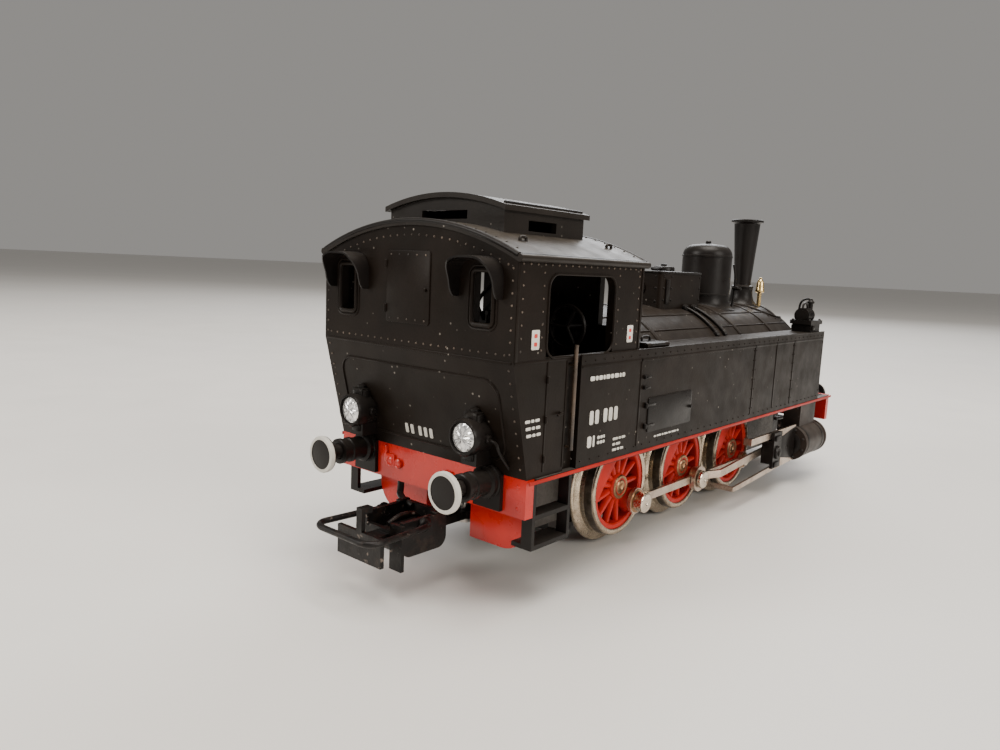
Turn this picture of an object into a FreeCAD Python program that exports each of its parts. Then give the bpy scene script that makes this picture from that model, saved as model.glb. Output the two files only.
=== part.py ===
import FreeCAD, Part
import Sketcher
import math
import os
import re
from FreeCAD import Placement, Rotation, Vector

# Six-coupled side-tank locomotive in H0 (1:87), an assembly of separate pieces.
#
# Millimetres. +X points forward (chimney end), +Y to the left side, +Z up.
# The origin is on the floor under the middle of the locomotive; the wheel flanges
# stand on Z = 0. Everything repeated on the two sides is made by a loop over SIDES
# (+1 left, -1 right), and everything on the two ends by a loop over ENDS.

doc = FreeCAD.newDocument("tank_locomotive")
sheet = doc.addObject("Spreadsheet::Sheet", "Sizes")
SIDES = {"left": 1, "right": -1}
ENDS = {"front": 1, "rear": -1}
AXIS_TURN = {
    "X": Rotation(Vector(0, 1, 0), 90),
    "Y": Rotation(Vector(1, 0, 0), -90),
    "Z": Rotation(),
}
aliases = []
nodes = {}


# ---------------------------------------------------------------- sheet and helpers

def size(alias, number):
    """Write one driving dimension into the sheet."""
    row = len(aliases) + 1
    sheet.set(f"A{row}", alias)
    sheet.set(f"B{row}", str(number))
    sheet.setAlias(f"B{row}", alias)
    aliases.append(alias)


def formula(text):
    """Turn 'beam_x - gap' into an expression on the sheet."""
    def cell(match):
        word = match.group(0)
        return "Sizes." + word if word in aliases else word
    return re.sub(r"[a-z][a-z0-9_]*", cell, str(text))


def value(text):
    """Number that an expression has now."""
    return float(sheet.evalExpression(formula(text)))


def bind(thing, **properties):
    for name, text in properties.items():
        thing.setExpression(name, formula(text))


def place(thing, x="0", y="0", z="0", turn=None):
    """Put an object at expressions of the sheet, turned by a Rotation."""
    if turn is not None:
        thing.Placement = Placement(Vector(), turn)
    for axis, text in zip("xyz", (x, y, z)):
        thing.setExpression("Placement.Base." + axis, formula(text))


def box(name, x0, x1, y0, y1, z0, z1):
    """Box between two corners, each coordinate an expression."""
    solid = doc.addObject("Part::Box", name)
    bind(solid, Length=f"({x1})-({x0})", Width=f"({y1})-({y0})", Height=f"({z1})-({z0})")
    place(solid, x0, y0, z0)
    return solid


def side_box(name, side, x0, x1, y_in, y_out, z0, z1):
    """Box on one side of the locomotive, y given as distances from its middle."""
    if side > 0:
        return box(name, x0, x1, y_in, y_out, z0, z1)
    return box(name, x0, x1, f"-({y_out})", f"-({y_in})", z0, z1)


def end_box(name, end, x_in, x_out, y0, y1, z0, z1):
    """Box at one end of the locomotive, x given as distances from its middle."""
    if end > 0:
        return box(name, x_in, x_out, y0, y1, z0, z1)
    return box(name, f"-({x_out})", f"-({x_in})", y0, y1, z0, z1)


def cylinder(name, axis, radius, length, x="0", y="0", z="0"):
    """Cylinder that starts at x, y, z and runs along the positive axis."""
    solid = doc.addObject("Part::Cylinder", name)
    bind(solid, Radius=radius, Height=length)
    place(solid, x, y, z, AXIS_TURN[axis])
    return solid


def side_cylinder(name, side, radius, x, y_in, y_out, z):
    start = y_in if side > 0 else f"-({y_out})"
    return cylinder(name, "Y", radius, f"({y_out})-({y_in})", x, start, z)


def end_cylinder(name, end, radius, x_in, x_out, y, z):
    start = x_in if end > 0 else f"-({x_out})"
    return cylinder(name, "X", radius, f"({x_out})-({x_in})", start, y, z)


def fuse(name, *solids):
    union = doc.addObject("Part::MultiFuse", name)
    union.Shapes = list(solids)
    return union


def group(name, *solids):
    """Several separate solids kept together in one node."""
    compound = doc.addObject("Part::Compound", name)
    compound.Links = list(solids)
    return compound


def cut(name, base, *tools):
    difference = doc.addObject("Part::Cut", name)
    difference.Base = base
    difference.Tool = tools[0] if len(tools) == 1 else fuse(name + "_tools", *tools)
    return difference


def common(name, *solids):
    overlap = doc.addObject("Part::MultiCommon", name)
    overlap.Shapes = list(solids)
    return overlap


def outline(body, name, plane, points):
    """Closed polygon sketch on an origin plane, every corner bound to the sheet."""
    sketch = body.newObject("Sketcher::SketchObject", name)
    origin_plane = [f for f in body.Origin.OriginFeatures if f.Role == plane + "_Plane"][0]
    sketch.AttachmentSupport = [(origin_plane, "")]
    sketch.MapMode = "FlatFace"
    corners = [Vector(value(u), value(v), 0) for u, v in points]
    count = len(corners)
    for i in range(count):
        sketch.addGeometry(Part.LineSegment(corners[i], corners[(i + 1) % count]), False)
    for i in range(count):
        sketch.addConstraint(Sketcher.Constraint("Coincident", i, 2, (i + 1) % count, 1))
    for i, (u, v) in enumerate(points):
        for kind, text in (("DistanceX", u), ("DistanceY", v)):
            number = sketch.addConstraint(Sketcher.Constraint(kind, -1, 1, i, 1, value(text)))
            sketch.setExpression(f"Constraints[{number}]", formula(text))
    return sketch


def prism(name, plane, points, length, x="0", y="0", z="0"):
    """Pad of a polygon, half its length to each side of the plane."""
    body = doc.addObject("PartDesign::Body", name)
    sketch = outline(body, name + "_outline", plane, points)
    pad = body.newObject("PartDesign::Pad", name + "_pad")
    pad.Profile = sketch
    pad.Midplane = True
    bind(pad, Length=length)
    place(body, x, y, z)
    return body


def turned(name, axis, points, x="0", y="0", z="0"):
    """Revolved piece: points are (radius, distance along the axis)."""
    body = doc.addObject("PartDesign::Body", name)
    if axis == "Z":
        sketch = outline(body, name + "_profile", "XZ", points)
    elif axis == "Y":
        sketch = outline(body, name + "_profile", "XY", points)
    else:
        sketch = outline(body, name + "_profile", "XY", [(along, radius) for radius, along in points])
    turn = body.newObject("PartDesign::Revolution", name + "_turn")
    turn.Profile = sketch
    turn.ReferenceAxis = (sketch, ["H_Axis" if axis == "X" else "V_Axis"])
    turn.Angle = 360
    place(body, x, y, z)
    return body


def round_edges(body, radius, wanted):
    """Fillet the edges of a Body that the test picks out."""
    doc.recompute()
    tip = body.Tip
    names = [f"Edge{i + 1}" for i, edge in enumerate(tip.Shape.Edges) if wanted(edge)]
    fillet = body.newObject("PartDesign::Fillet", body.Name + "_round")
    fillet.Base = (tip, names)
    bind(fillet, Radius=radius)
    body.Tip = fillet
    return body


def along(axis):
    """Test for straight edges that run along X, Y or Z."""
    pick = {"X": Vector(1, 0, 0), "Y": Vector(0, 1, 0), "Z": Vector(0, 0, 1)}[axis]

    def test(edge):
        if edge.Curve.TypeId != "Part::GeomLine":
            return False
        return abs(edge.Curve.Direction.dot(pick)) > 0.999
    return test


def shaped(name, shape):
    """Piece whose shape is worked out with Part's own functions."""
    feature = doc.addObject("Part::Feature", name)
    feature.Shape = shape
    return feature


def moved(shape, placement):
    """Copy of a shape carried rigidly to a placement."""
    return shape.transformed(placement.Matrix, True)


def node(name, thing):
    """Register a finished sub-part under the name of its file."""
    thing.Label = name
    nodes[name] = thing
    return thing


# ---------------------------------------------------------------- driving dimensions

for alias, number in {
    # running gear
    "wheel_base": 17.4, "middle_axle_x": -3.25, "tread_radius": 6.6, "flange_depth": 1.24,
    "tyre_bore_radius": 5.75, "back_to_back": 14.6, "flange_width": 0.85, "tyre_width": 3.1,
    "tyre_taper": 0.1, "axle_radius": 1.0, "hub_radius": 1.85, "spoke_count": 13, "spoke_width": 0.6,
    "rim_depth": 0.65, "weight_chord": 3.5, "crank_throw": 3.44, "crank_boss_radius": 1.45,
    "crank_boss_out": 10.8, "pin_radius": 0.6, "right_crank": -39.75, "left_crank": -129.75,
    "running_gap": 0.06, "side_gap": 0.1,
    # rods
    "coupling_rod_y": 11.0, "coupling_rod_thick": 0.5, "coupling_rod_height": 1.1,
    "coupling_eye_radius": 1.75, "rod_length": 21.42, "rod_thick": 0.5, "rod_height": 1.15,
    "rod_big_eye_radius": 1.95, "rod_small_eye_radius": 0.6, "rod_front_y": 13.0,
    "rod_front_thick": 0.4, "jog_start": 2.5, "jog_end": 4.6, "small_pin_radius": 0.3,
    "pin_head_radius": 1.35, "front_head_radius": 0.95, "front_head_thick": 0.5,
    "rear_pin_out": 13.0, "middle_pin_out": 12.9,
    # cylinders and slide bars
    "cylinder_y": 14.0, "cylinder_z": 7.1, "cylinder_radius": 3.05, "cover_radius": 3.15,
    "cover_thick": 0.7, "cylinder_back_x": 30.4, "cylinder_length": 10.6,
    "piston_rod_radius": 0.5, "piston_rod_length": 16.9, "saddle_height": 1.4,
    "bar_in": 14.55, "bar_thick": 0.4, "bar_height": 1.1, "bar_top_z": 9.5, "bar_plate_x": 23.6,
    "upper_bar_x": 10.9, "lower_bar_x": 5.2, "lower_bar_z": 3.05, "bar_tab": 0.9,
    "bar_rise": 0.9,
    "crosshead_length": 3.4, "crosshead_in": 13.5, "crosshead_height": 3.9,
    "crosshead_plate_thick": 0.5, "crosshead_plate_height": 6.1,
    # frame
    "chassis_x": 41.95, "chassis_y": 6.4, "chassis_bottom_z": 4.2, "chassis_top_z": 14.2,
    "keeper_thick": 1.0, "keeper_overhang": 10.4, "screw_reach": 25.6, "screw_radius": 0.8,
    "screw_head_radius": 1.4, "screw_head_thick": 0.55, "screw_length": 4.0,
    "well_y": 1.6, "pocket_y": 3.2, "pocket_x": 37.6, "pocket_top_z": 8.6,
    "strip_thick": 0.2, "strip_z": 5.0, "strip_height": 1.3, "finger_reach": 0.55,
    # motor and gears
    "tooth_module": 0.4, "axle_teeth": 20, "idler_teeth": 16, "worm_wheel_teeth": 20,
    "gear_width": 1.6, "gear_backlash": 0.08, "worm_radius": 2.0, "worm_length": 7.2,
    "motor_z": 25.0, "motor_radius": 5.2, "motor_back_x": -18.2, "motor_length": 10.6,
    "motor_wall": 0.7, "motor_cap_length": 2.2, "boss_radius": 3.1, "boss_length": 2.4,
    "shaft_radius": 0.75, "rotor_radius": 3.9, "gear_pin_radius": 0.75, "gear_pin_y": 3.6,
    "gear_bearer_y": 4.0, "gear_bearer_top_z": 20.6, "pedestal_y": 4.4,
    "ballast_back_x": 9.4, "ballast_front_x": 37.4, "ballast_y": 6.2, "ballast_top_z": 27.4,
    # footplate, beams, buffers
    "deck_y": 15.3, "deck_top_z": 14.5, "deck_thick": 0.6, "beam_x": 46.85, "beam_thick": 1.3,
    "rear_beam_z": 10.3, "front_beam_z": 9.7, "beam_y": 15.0,
    "buffer_y": 10.05, "buffer_z": 13.5, "buffer_x": 54.05, "buffer_head_radius": 2.1,
    "sleeve_radius": 1.35, "sleeve_foot_radius": 1.75, "sleeve_length": 4.6,
    "plunger_radius": 0.9, "apron_x": 42.75, "apron_y": 12.3, "apron_z": 4.6, "apron_thick": 0.8,
    "apron_corner": 3.7, "apron_slot_y": 3.7, "apron_slot_z": 9.2,
    "step_back_x": -45.55, "step_front_x": -38.8, "step_in": 12.3, "step_out": 15.0,
    "hanger_in": 13.6, "step_bottom_z": 6.6, "step_plate": 0.5, "tread_thick": 0.5, "step_middle_z": 9.9,
    # couplers
    "coupler_pivot_x": 39.8, "shank_y": 1.2, "shank_z": 5.6, "shank_height": 1.0,
    "yoke_in_x": 46.35, "yoke_out_x": 52.95, "yoke_y": 3.3, "yoke_bottom_z": 4.3,
    "yoke_top_z": 8.3, "yoke_wall": 0.6, "yoke_corner": 1.2, "hook_x": 56.3, "hook_thick": 0.5,
    "hook_y": 3.6,
    "hook_z": 4.2, "hook_top_z": 7.4, "horn_y": 0.45, "horn_top_z": 10.0, "release_z": 3.0,
    "loop_pivot_x": 49.9, "loop_z": 7.6, "loop_x": 58.7, "loop_y": 4.7, "loop_wire": 0.35,
    "loop_pin_radius": 0.42, "coupler_pin_radius": 0.6,
    # tanks and boiler
    "wheel_well_half": 5.5, "wheel_well_y": 11.0, "tank_y": 15.3, "tank_top_z": 26.95,
    "tank_front_x": 39.45, "tank_back_x": -38.65,
    "body_wall": 1.0, "boiler_radius": 13.6, "boiler_z": 17.8, "smokebox_radius": 9.1,
    "smokebox_z": 22.3, "boiler_front_x": 37.5, "petal_x": 37.5, "petal_radius": 7.6,
    "smokebox_front_x": 39.45, "door_radius": 6.8, "door_thick": 0.9,
    "dome_x": 20.65, "dome_radius": 4.26, "dome_top_z": 41.8, "dome_flare": 1.1,
    "chimney_x": 36.45, "chimney_top_z": 47.1, "chimney_rim_radius": 2.95, "chimney_top_radius": 2.4,
    "chimney_foot_radius": 1.55, "chimney_collar_radius": 2.0, "chimney_collar_z": 34.6,
    "chimney_bore_radius": 1.9, "rim_height": 0.45,
    "sandbox_back_x": -2.15, "sandbox_front_x": 11.2, "sandbox_y": 4.0, "sandbox_top_z": 36.6,
    "sandbox_lid_x": 5.35, "sandbox_lid_radius": 1.6, "sandbox_lid_height": 0.7,
    "pipe_radius": 0.28, "pipe_tuck": 0.174, "pipe_rise": 0.316, "pipe_back_x": 5.4, "pipe_pitch": 2.8,
    "whistle_x": 38.6, "whistle_y": -2.7, "whistle_z": 33.6, "whistle_top_z": 36.4,
    "whistle_radius": 0.85, "pump_x": 36.2, "pump_y": -12.9,
    # cab
    "cab_back_x": -49.85, "cab_front_x": -26.35, "cab_y": 15.0, "waist_z": 26.75,
    "cab_foot_x": -46.85, "cab_wall": 1.0, "roof_radius": 36.15, "roof_ridge_z": 40.8,
    "roof_thick": 0.7, "roof_overhang": 0.25, "roof_y": 15.25, "gutter_radius": 0.38,
    "door_back_x": -44.75, "door_front_x": -32.35, "sill_z": 27.0, "door_top_z": 35.6,
    "corner_radius": 1.5, "rear_window_in": 9.4, "rear_window_out": 11.9,
    "rear_window_z": 30.4, "rear_window_top_z": 35.5, "front_window_in": 9.6,
    "front_window_out": 13.2, "hand_slot_x": -40.75, "hand_slot_depth": 0.45,
    "cab_passage_y": 8.6, "vent_back_x": -45.1, "vent_front_x": -30.7, "vent_y": 8.9,
    "vent_eave_z": 42.7, "vent_ridge_z": 44.0, "vent_wall": 0.7, "vent_roof_thick": 0.55,
    "vent_overhang": 0.5, "vent_window_back_x": -41.0, "vent_window_front_x": -36.0,
    "vent_window_z": 40.05, "vent_window_top_z": 41.2, "vent_slot_y": 3.55, "vent_slot_top_z": 42.05,
    # lamps and fittings
    "lamp_y": 9.2, "lamp_z": 18.5, "lamp_radius": 1.85, "lens_radius": 1.5, "lens_thick": 0.5,
    "rear_lamp_x": 50.65, "front_lamp_x": 43.2, "lamp_cap": 0.7,
    "rail_radius": 0.22, "filler_x": -21.4, "filler_length": 4.6, "filler_in": 11.6,
    "filler_out": 14.4, "filler_height": 0.5,
}.items():
    size(alias, number)
doc.recompute()

AXLE_Z = "(flange_depth + tread_radius)"
WHEEL_INNER = "(back_to_back / 2)"
TYRE_OUTER = "(back_to_back / 2 + tyre_width)"
AXLES = {
    "rear": "(middle_axle_x - wheel_base)",
    "middle": "middle_axle_x",
    "front": "(middle_axle_x + wheel_base)",
}
DECK_BOTTOM = "(deck_top_z - deck_thick)"
FRAME_END = "(beam_x - beam_thick)"
CRANKS = {"left": "left_crank", "right": "right_crank"}
ROD_Y = "(coupling_rod_y + coupling_rod_thick + side_gap)"


def pin_x(axle, side_name):
    return f"({AXLES[axle]} + crank_throw * cos({CRANKS[side_name]}))"


def pin_z(side_name):
    return f"({AXLE_Z} + crank_throw * sin({CRANKS[side_name]}))"


def small_end_x(side_name):
    """Where the small end of a connecting rod lies, from the rod's length."""
    rise = f"(cylinder_z - {pin_z(side_name)})"
    return f"({pin_x('middle', side_name)} + sqrt(rod_length * rod_length - {rise} * {rise}))"


# ---------------------------------------------------------------- wheelsets

def make_wheel_centre():
    """Spoked centre with its crank boss on +X, outer face towards +Y."""
    rim = cut(
        "centre_rim",
        cylinder("rim_out", "Y", "tyre_bore_radius", "tyre_width - 1.1", y=f"{WHEEL_INNER} + 0.9"),
        cylinder("rim_in", "Y", "tyre_bore_radius - rim_depth", "tyre_width", y=WHEEL_INNER),
    )
    hub = cylinder("centre_hub", "Y", "hub_radius", "tyre_width + 0.05", y=WHEEL_INNER)
    boss = cylinder("centre_boss", "Y", "crank_boss_radius",
                    f"crank_boss_out - {WHEEL_INNER} - 1.2", "crank_throw", f"{WHEEL_INNER} + 1.2")
    weight = common(
        "centre_weight",
        cylinder("weight_disc", "Y", "tyre_bore_radius - rim_depth / 2", "1.5", y=f"{WHEEL_INNER} + 1.4"),
        box("weight_cut", "-tyre_bore_radius", "-weight_chord", "-tyre_bore_radius",
            f"{TYRE_OUTER}", "-tyre_bore_radius", "tyre_bore_radius"),
    )
    spokes = []
    count = int(value("spoke_count"))
    for i in range(count):
        spoke = doc.addObject("Part::Box", f"spoke_{i}")
        bind(spoke, Length="tyre_bore_radius - rim_depth / 2", Width="1.1", Height="spoke_width")
        angle = math.radians(360 * (i + 0.5) / count)
        spoke.Placement = Placement(Vector(), Rotation(Vector(0, 1, 0), math.degrees(angle)))
        place(spoke, f"-spoke_width / 2 * {math.sin(angle)}", f"{WHEEL_INNER} + 1.5",
              f"-spoke_width / 2 * {math.cos(angle)}")
        spokes.append(spoke)
    blank = fuse("centre_blank", rim, hub, boss, weight, *spokes)
    return cut(
        "centre_master", blank,
        cylinder("centre_bore", "Y", "axle_radius", "tyre_width - 0.5", y=WHEEL_INNER),
        cylinder("boss_bore", "Y", "pin_radius", "tyre_width + 1", "crank_throw", WHEEL_INNER),
    )


def make_tyre():
    """Steel tyre: coned tread, flange on the inner side."""
    flange_tip = f"{WHEEL_INNER} + flange_width"
    return turned("tyre_master", "Y", [
        ("tyre_bore_radius", WHEEL_INNER),
        ("tread_radius + flange_depth - 0.2", WHEEL_INNER),
        ("tread_radius + flange_depth", f"{WHEEL_INNER} + 0.2"),
        ("tread_radius + flange_depth", f"{flange_tip} - 0.4"),
        ("tread_radius + 0.35 * flange_depth", f"{flange_tip} - 0.1"),
        ("tread_radius", f"{flange_tip} + 0.15"),
        ("tread_radius - tyre_taper", f"{TYRE_OUTER} - 0.15"),
        ("tread_radius - tyre_taper - 0.15", TYRE_OUTER),
        ("tyre_bore_radius", TYRE_OUTER),
    ])


def wheel_placement(axle, side_name):
    turn = Rotation(Vector(0, 1, 0), -value(CRANKS[side_name]))
    return Placement(Vector(value(AXLES[axle]), 0, value(AXLE_Z)), turn)


def make_pin(axle, side_name):
    """Crank pin with its shank through the rod ends and a flat head outside them."""
    side = SIDES[side_name]
    x, z = pin_x(axle, side_name), pin_z(side_name)
    root = "crank_boss_out - 1.9"
    rod_out = f"({ROD_Y} + rod_thick + side_gap)" if axle == "middle" else f"({ROD_Y})"
    head_out = {"rear": "rear_pin_out", "middle": "middle_pin_out",
                "front": f"({rod_out} + front_head_thick)"}[axle]
    head_radius = "front_head_radius" if axle == "front" else "pin_head_radius"
    tag = f"{axle}_{side_name}"
    return fuse(
        "pin_" + tag,
        side_cylinder("pin_shank_" + tag, side, "pin_radius", x, root, head_out, z),
        side_cylinder("pin_head_" + tag, side, head_radius, x, rod_out, head_out, z),
    )


def make_wheelsets():
    """Three wheelsets: axle, two spoked centres, two tyres and two crank pins each."""
    centre_master, tyre_master = make_wheel_centre(), make_tyre()
    doc.recompute()
    across = Vector(0, 1, 0)
    for axle in AXLES:
        reach = f"({WHEEL_INNER} + tyre_width - 0.5)"
        node(f"axle_{axle}", cylinder(f"axle_{axle}", "Y", "axle_radius", f"2 * {reach}",
                                      AXLES[axle], f"-{reach}", AXLE_Z))
        centres, tyres = [], []
        for side_name, side in SIDES.items():
            centre, tyre = centre_master.Shape.copy(), tyre_master.Shape.copy()
            if side < 0:
                centre, tyre = centre.mirror(Vector(), across), tyre.mirror(Vector(), across)
            turned_to = wheel_placement(axle, side_name)
            centres.append(moved(centre, turned_to))
            tyres.append(moved(tyre, turned_to))
        node(f"wheel_centres_{axle}", shaped(f"wheel_centres_{axle}", Part.makeCompound(centres)))
        node(f"tyres_{axle}", shaped(f"tyres_{axle}", Part.makeCompound(tyres)))
        node(f"crank_pins_{axle}", group(f"crank_pins_{axle}", *[make_pin(axle, s) for s in SIDES]))


# ---------------------------------------------------------------- rods, slide bars, cylinders

def make_coupling_rod(side_name):
    """Flat rod that joins the three crank pins of one side, with round eyes."""
    side, tag = SIDES[side_name], side_name
    z = pin_z(side_name)
    y_out = "coupling_rod_y + coupling_rod_thick"
    bar = side_box("coupling_bar_" + tag, side, pin_x("rear", tag), pin_x("front", tag),
                   "coupling_rod_y", y_out, f"{z} - coupling_rod_height / 2",
                   f"{z} + coupling_rod_height / 2")
    eyes, bores = [], []
    for axle in AXLES:
        x = pin_x(axle, side_name)
        radius = "coupling_eye_radius - 0.35" if axle == "front" else "coupling_eye_radius"
        eyes.append(side_cylinder(f"coupling_eye_{axle}_{tag}", side, radius, x,
                                  "coupling_rod_y", y_out, z))
        bores.append(side_cylinder(f"coupling_bore_{axle}_{tag}", side, "pin_radius + running_gap", x,
                                   "coupling_rod_y - 1", f"{y_out} + 1", z))
    rod = cut("coupling_rod_" + tag, fuse("coupling_blank_" + tag, bar, *eyes), *bores)
    node("coupling_rod_" + tag, rod)


def make_connecting_rod(side_name):
    """Rod from the middle crank pin to the crosshead, joggled outwards past its big end."""
    side, tag = SIDES[side_name], side_name
    back, front = f"{side} * {ROD_Y}", f"{side} * rod_front_y"
    back_out = f"{side} * ({ROD_Y} + rod_thick)"
    front_out = f"{side} * (rod_front_y + rod_front_thick)"
    tip = "rod_length + rod_small_eye_radius"
    plan = prism("rod_plan_" + tag, "XY", [
        ("-rod_big_eye_radius", back), ("jog_start", back), ("jog_end", front), (tip, front),
        (tip, front_out), ("jog_end - 0.2", front_out), ("jog_start - 0.2", back_out),
        ("-rod_big_eye_radius", back_out),
    ], "3 * rod_big_eye_radius")
    far = "rod_front_y + 2"
    side_view = fuse(
        "rod_side_" + tag,
        side_cylinder("rod_big_" + tag, side, "rod_big_eye_radius", "0", "0", far, "0"),
        side_cylinder("rod_small_" + tag, side, "rod_small_eye_radius", "rod_length", "0", far, "0"),
        side_box("rod_bar_" + tag, side, "0", "rod_length", "0", far,
                 "-rod_height / 2", "rod_height / 2"),
    )
    rod = cut(
        "connecting_rod_" + tag,
        common("rod_blank_" + tag, plan, side_view),
        side_cylinder("rod_bore_" + tag, side, "pin_radius + running_gap", "0", "0", far, "0"),
        side_cylinder("rod_tip_bore_" + tag, side, "small_pin_radius", "rod_length", "0", far, "0"),
    )
    slope = f"asin((cylinder_z - {pin_z(tag)}) / rod_length)"
    place(rod, pin_x("middle", tag), "0", pin_z(tag), Rotation(Vector(0, -1, 0), value(slope)))
    rod.setExpression("Placement.Rotation.Angle", formula(slope))
    node("connecting_rod_" + tag, rod)


def make_crosshead(side_name):
    """Crosshead block between the slide bars, with its piston rod."""
    side, tag = SIDES[side_name], side_name
    middle = small_end_x(tag)
    back, front = f"{middle} - crosshead_length / 2", f"{middle} + crosshead_length / 2"
    plate_in = "bar_in + bar_thick + side_gap"
    block = side_box("crosshead_block_" + tag, side, back, front, "crosshead_in", plate_in,
                     "cylinder_z - crosshead_height / 2", "cylinder_z + crosshead_height / 2")
    plate = side_box("crosshead_plate_" + tag, side, back, front, plate_in,
                     f"{plate_in} + crosshead_plate_thick",
                     "cylinder_z - crosshead_plate_height / 2 + 0.4",
                     "cylinder_z + crosshead_plate_height / 2 + 0.4")
    pin = side_cylinder("crosshead_pin_" + tag, side, "2.2 * small_pin_radius", middle,
                        f"{plate_in} + crosshead_plate_thick",
                        f"{plate_in} + crosshead_plate_thick + 0.3", "cylinder_z")
    rod = cylinder("piston_rod_" + tag, "X", "piston_rod_radius", "piston_rod_length",
                   front, f"{side} * cylinder_y", "cylinder_z")
    node("crosshead_" + tag, fuse("crosshead_" + tag, block, plate, pin, rod))


def make_slide_bars(side_name):
    """Stamped bracket: a plate on the cylinder cover with two bars running back from it."""
    side, tag = SIDES[side_name], side_name
    bar_out = "bar_in + bar_thick"
    outline_points = [
        ("cylinder_back_x", "lower_bar_z + bar_rise + 0.3"), ("cylinder_back_x", "bar_top_z + bar_height"),
        ("upper_bar_x", "bar_top_z + bar_height"), ("upper_bar_x", "bar_top_z"),
        ("bar_plate_x - 0.6", "bar_top_z"), ("bar_plate_x", "bar_top_z - 0.6"),
        ("bar_plate_x", "lower_bar_z + bar_rise + 1.5"),
        ("bar_plate_x - 0.6", "lower_bar_z + bar_rise + 0.8"),
        ("lower_bar_x + bar_thick", "lower_bar_z + 0.7"), ("lower_bar_x", "lower_bar_z + 0.7"),
        ("lower_bar_x", "lower_bar_z"), ("lower_bar_x + 2", "lower_bar_z"),
        ("bar_plate_x", "lower_bar_z + bar_rise"),
    ]
    stamping = prism("bars_plate_" + tag, "XZ", outline_points, "bar_thick",
                     y=f"{side} * (bar_in + bar_thick / 2)")
    upper_tab = side_box("bars_upper_tab_" + tag, side, "upper_bar_x", "upper_bar_x + bar_thick",
                         "bar_in - bar_tab", bar_out, "bar_top_z", "bar_top_z + bar_height")
    lower_tab = side_box("bars_lower_tab_" + tag, side, "lower_bar_x", "lower_bar_x + bar_thick",
                         "chassis_y", bar_out, "lower_bar_z", "lower_bar_z + 0.7")
    return fuse("slide_bars_" + tag, stamping, upper_tab, lower_tab)


def make_cylinder(side_name):
    """Steam cylinder with bolted covers, hung under the footplate."""
    side, tag = SIDES[side_name], side_name
    y, z = f"{side} * cylinder_y", "cylinder_z"
    barrel = cylinder("barrel_" + tag, "X", "cylinder_radius", "cylinder_length",
                      "cylinder_back_x", y, z)
    covers = [
        cylinder("cover_back_" + tag, "X", "cover_radius", "cover_thick", "cylinder_back_x", y, z),
        cylinder("cover_front_" + tag, "X", "cover_radius", "cover_thick",
                 "cylinder_back_x + cylinder_length - cover_thick", y, z),
    ]
    bolts = []
    for i in range(8):
        angle = math.radians(45 * i + 22.5)
        bolts.append(cylinder(
            f"cover_bolt_{i}_{tag}", "X", "0.22", "cylinder_length + 0.4", "cylinder_back_x - 0.2",
            f"{y} + (cover_radius - 0.5) * {math.cos(angle)}",
            f"{z} + (cover_radius - 0.5) * {math.sin(angle)}"))
    gland = cylinder("gland_" + tag, "X", "2 * piston_rod_radius", "0.9", "cylinder_back_x - 0.9", y, z)
    saddle = side_box("cylinder_saddle_" + tag, side, "cylinder_back_x + 1.5",
                      "cylinder_back_x + cylinder_length - 1.5", "chassis_y", "cylinder_y + 1",
                      f"{DECK_BOTTOM} - saddle_height", DECK_BOTTOM)
    neck = side_box("cylinder_neck_" + tag, side, "cylinder_back_x + 1.5",
                    "cylinder_back_x + cylinder_length - 1.5", "cylinder_y - 2", "cylinder_y + 1",
                    "cylinder_z", DECK_BOTTOM)
    bore = cylinder("cylinder_bore_" + tag, "X", "piston_rod_radius + running_gap",
                    "cylinder_length + 0.4", "cylinder_back_x - 1", y, z)
    blank = fuse("cylinder_blank_" + tag, barrel, *covers, *bolts, gland, saddle, neck)
    clearance = side_box("bar_seat_" + tag, side, "cylinder_back_x - 1", "cylinder_back_x",
                         "bar_in", "bar_in + bar_thick", "0", "cylinder_z + cover_radius")
    return cut("cylinder_" + tag, blank, bore, clearance)


def make_motion():
    for side_name in SIDES:
        make_coupling_rod(side_name)
        make_connecting_rod(side_name)
        make_crosshead(side_name)
    node("slide_bars", group("slide_bars", *[make_slide_bars(s) for s in SIDES]))
    node("steam_cylinders", group("steam_cylinders", *[make_cylinder(s) for s in SIDES]))


# ---------------------------------------------------------------- chassis, motor, gears

def gear_centres():
    """Worm wheel above the middle axle, idler standing off in front of the pair."""
    pitch = "tooth_module / 2"
    worm_wheel_z = f"(motor_z - worm_radius - {pitch} * worm_wheel_teeth - gear_backlash)"
    span = f"({pitch} * (axle_teeth + idler_teeth) + gear_backlash)"
    half = f"(({worm_wheel_z} - {AXLE_Z}) / 2)"
    idler_x = f"(middle_axle_x + sqrt({span} * {span} - {half} * {half}))"
    idler_z = f"({AXLE_Z} + {half})"
    return worm_wheel_z, idler_x, idler_z


WORM_WHEEL_Z, IDLER_X, IDLER_Z = gear_centres()
WORM_X = "(middle_axle_x - worm_length / 2)"


def gear_shape(teeth_alias, bore_alias, turn):
    """Spur gear with straight-flanked teeth narrower than their gaps, axis along Y."""
    module, teeth = value("tooth_module"), int(value(teeth_alias))
    pitch_radius = module * teeth / 2
    rings = ((pitch_radius - 1.2 * module, 0.33), (pitch_radius, 0.215), (pitch_radius + 0.95 * module, 0.1))
    points = []
    for i in range(teeth):
        middle = 360 / teeth * i + turn
        flank = [(radius, 360 / teeth * share) for radius, share in rings]
        for radius, half in flank:
            points.append((radius, middle - half))
        for radius, half in reversed(flank):
            points.append((radius, middle + half))
    width = value("gear_width")
    corners = [Vector(r * math.cos(math.radians(a)), -width / 2, r * math.sin(math.radians(a)))
               for r, a in points]
    face = Part.Face(Part.makePolygon(corners + corners[:1]))
    blank = face.extrude(Vector(0, width, 0))
    bore = Part.makeCylinder(value(bore_alias), 2 * width, Vector(0, -width, 0), Vector(0, 1, 0))
    return blank.cut(bore)


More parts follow.
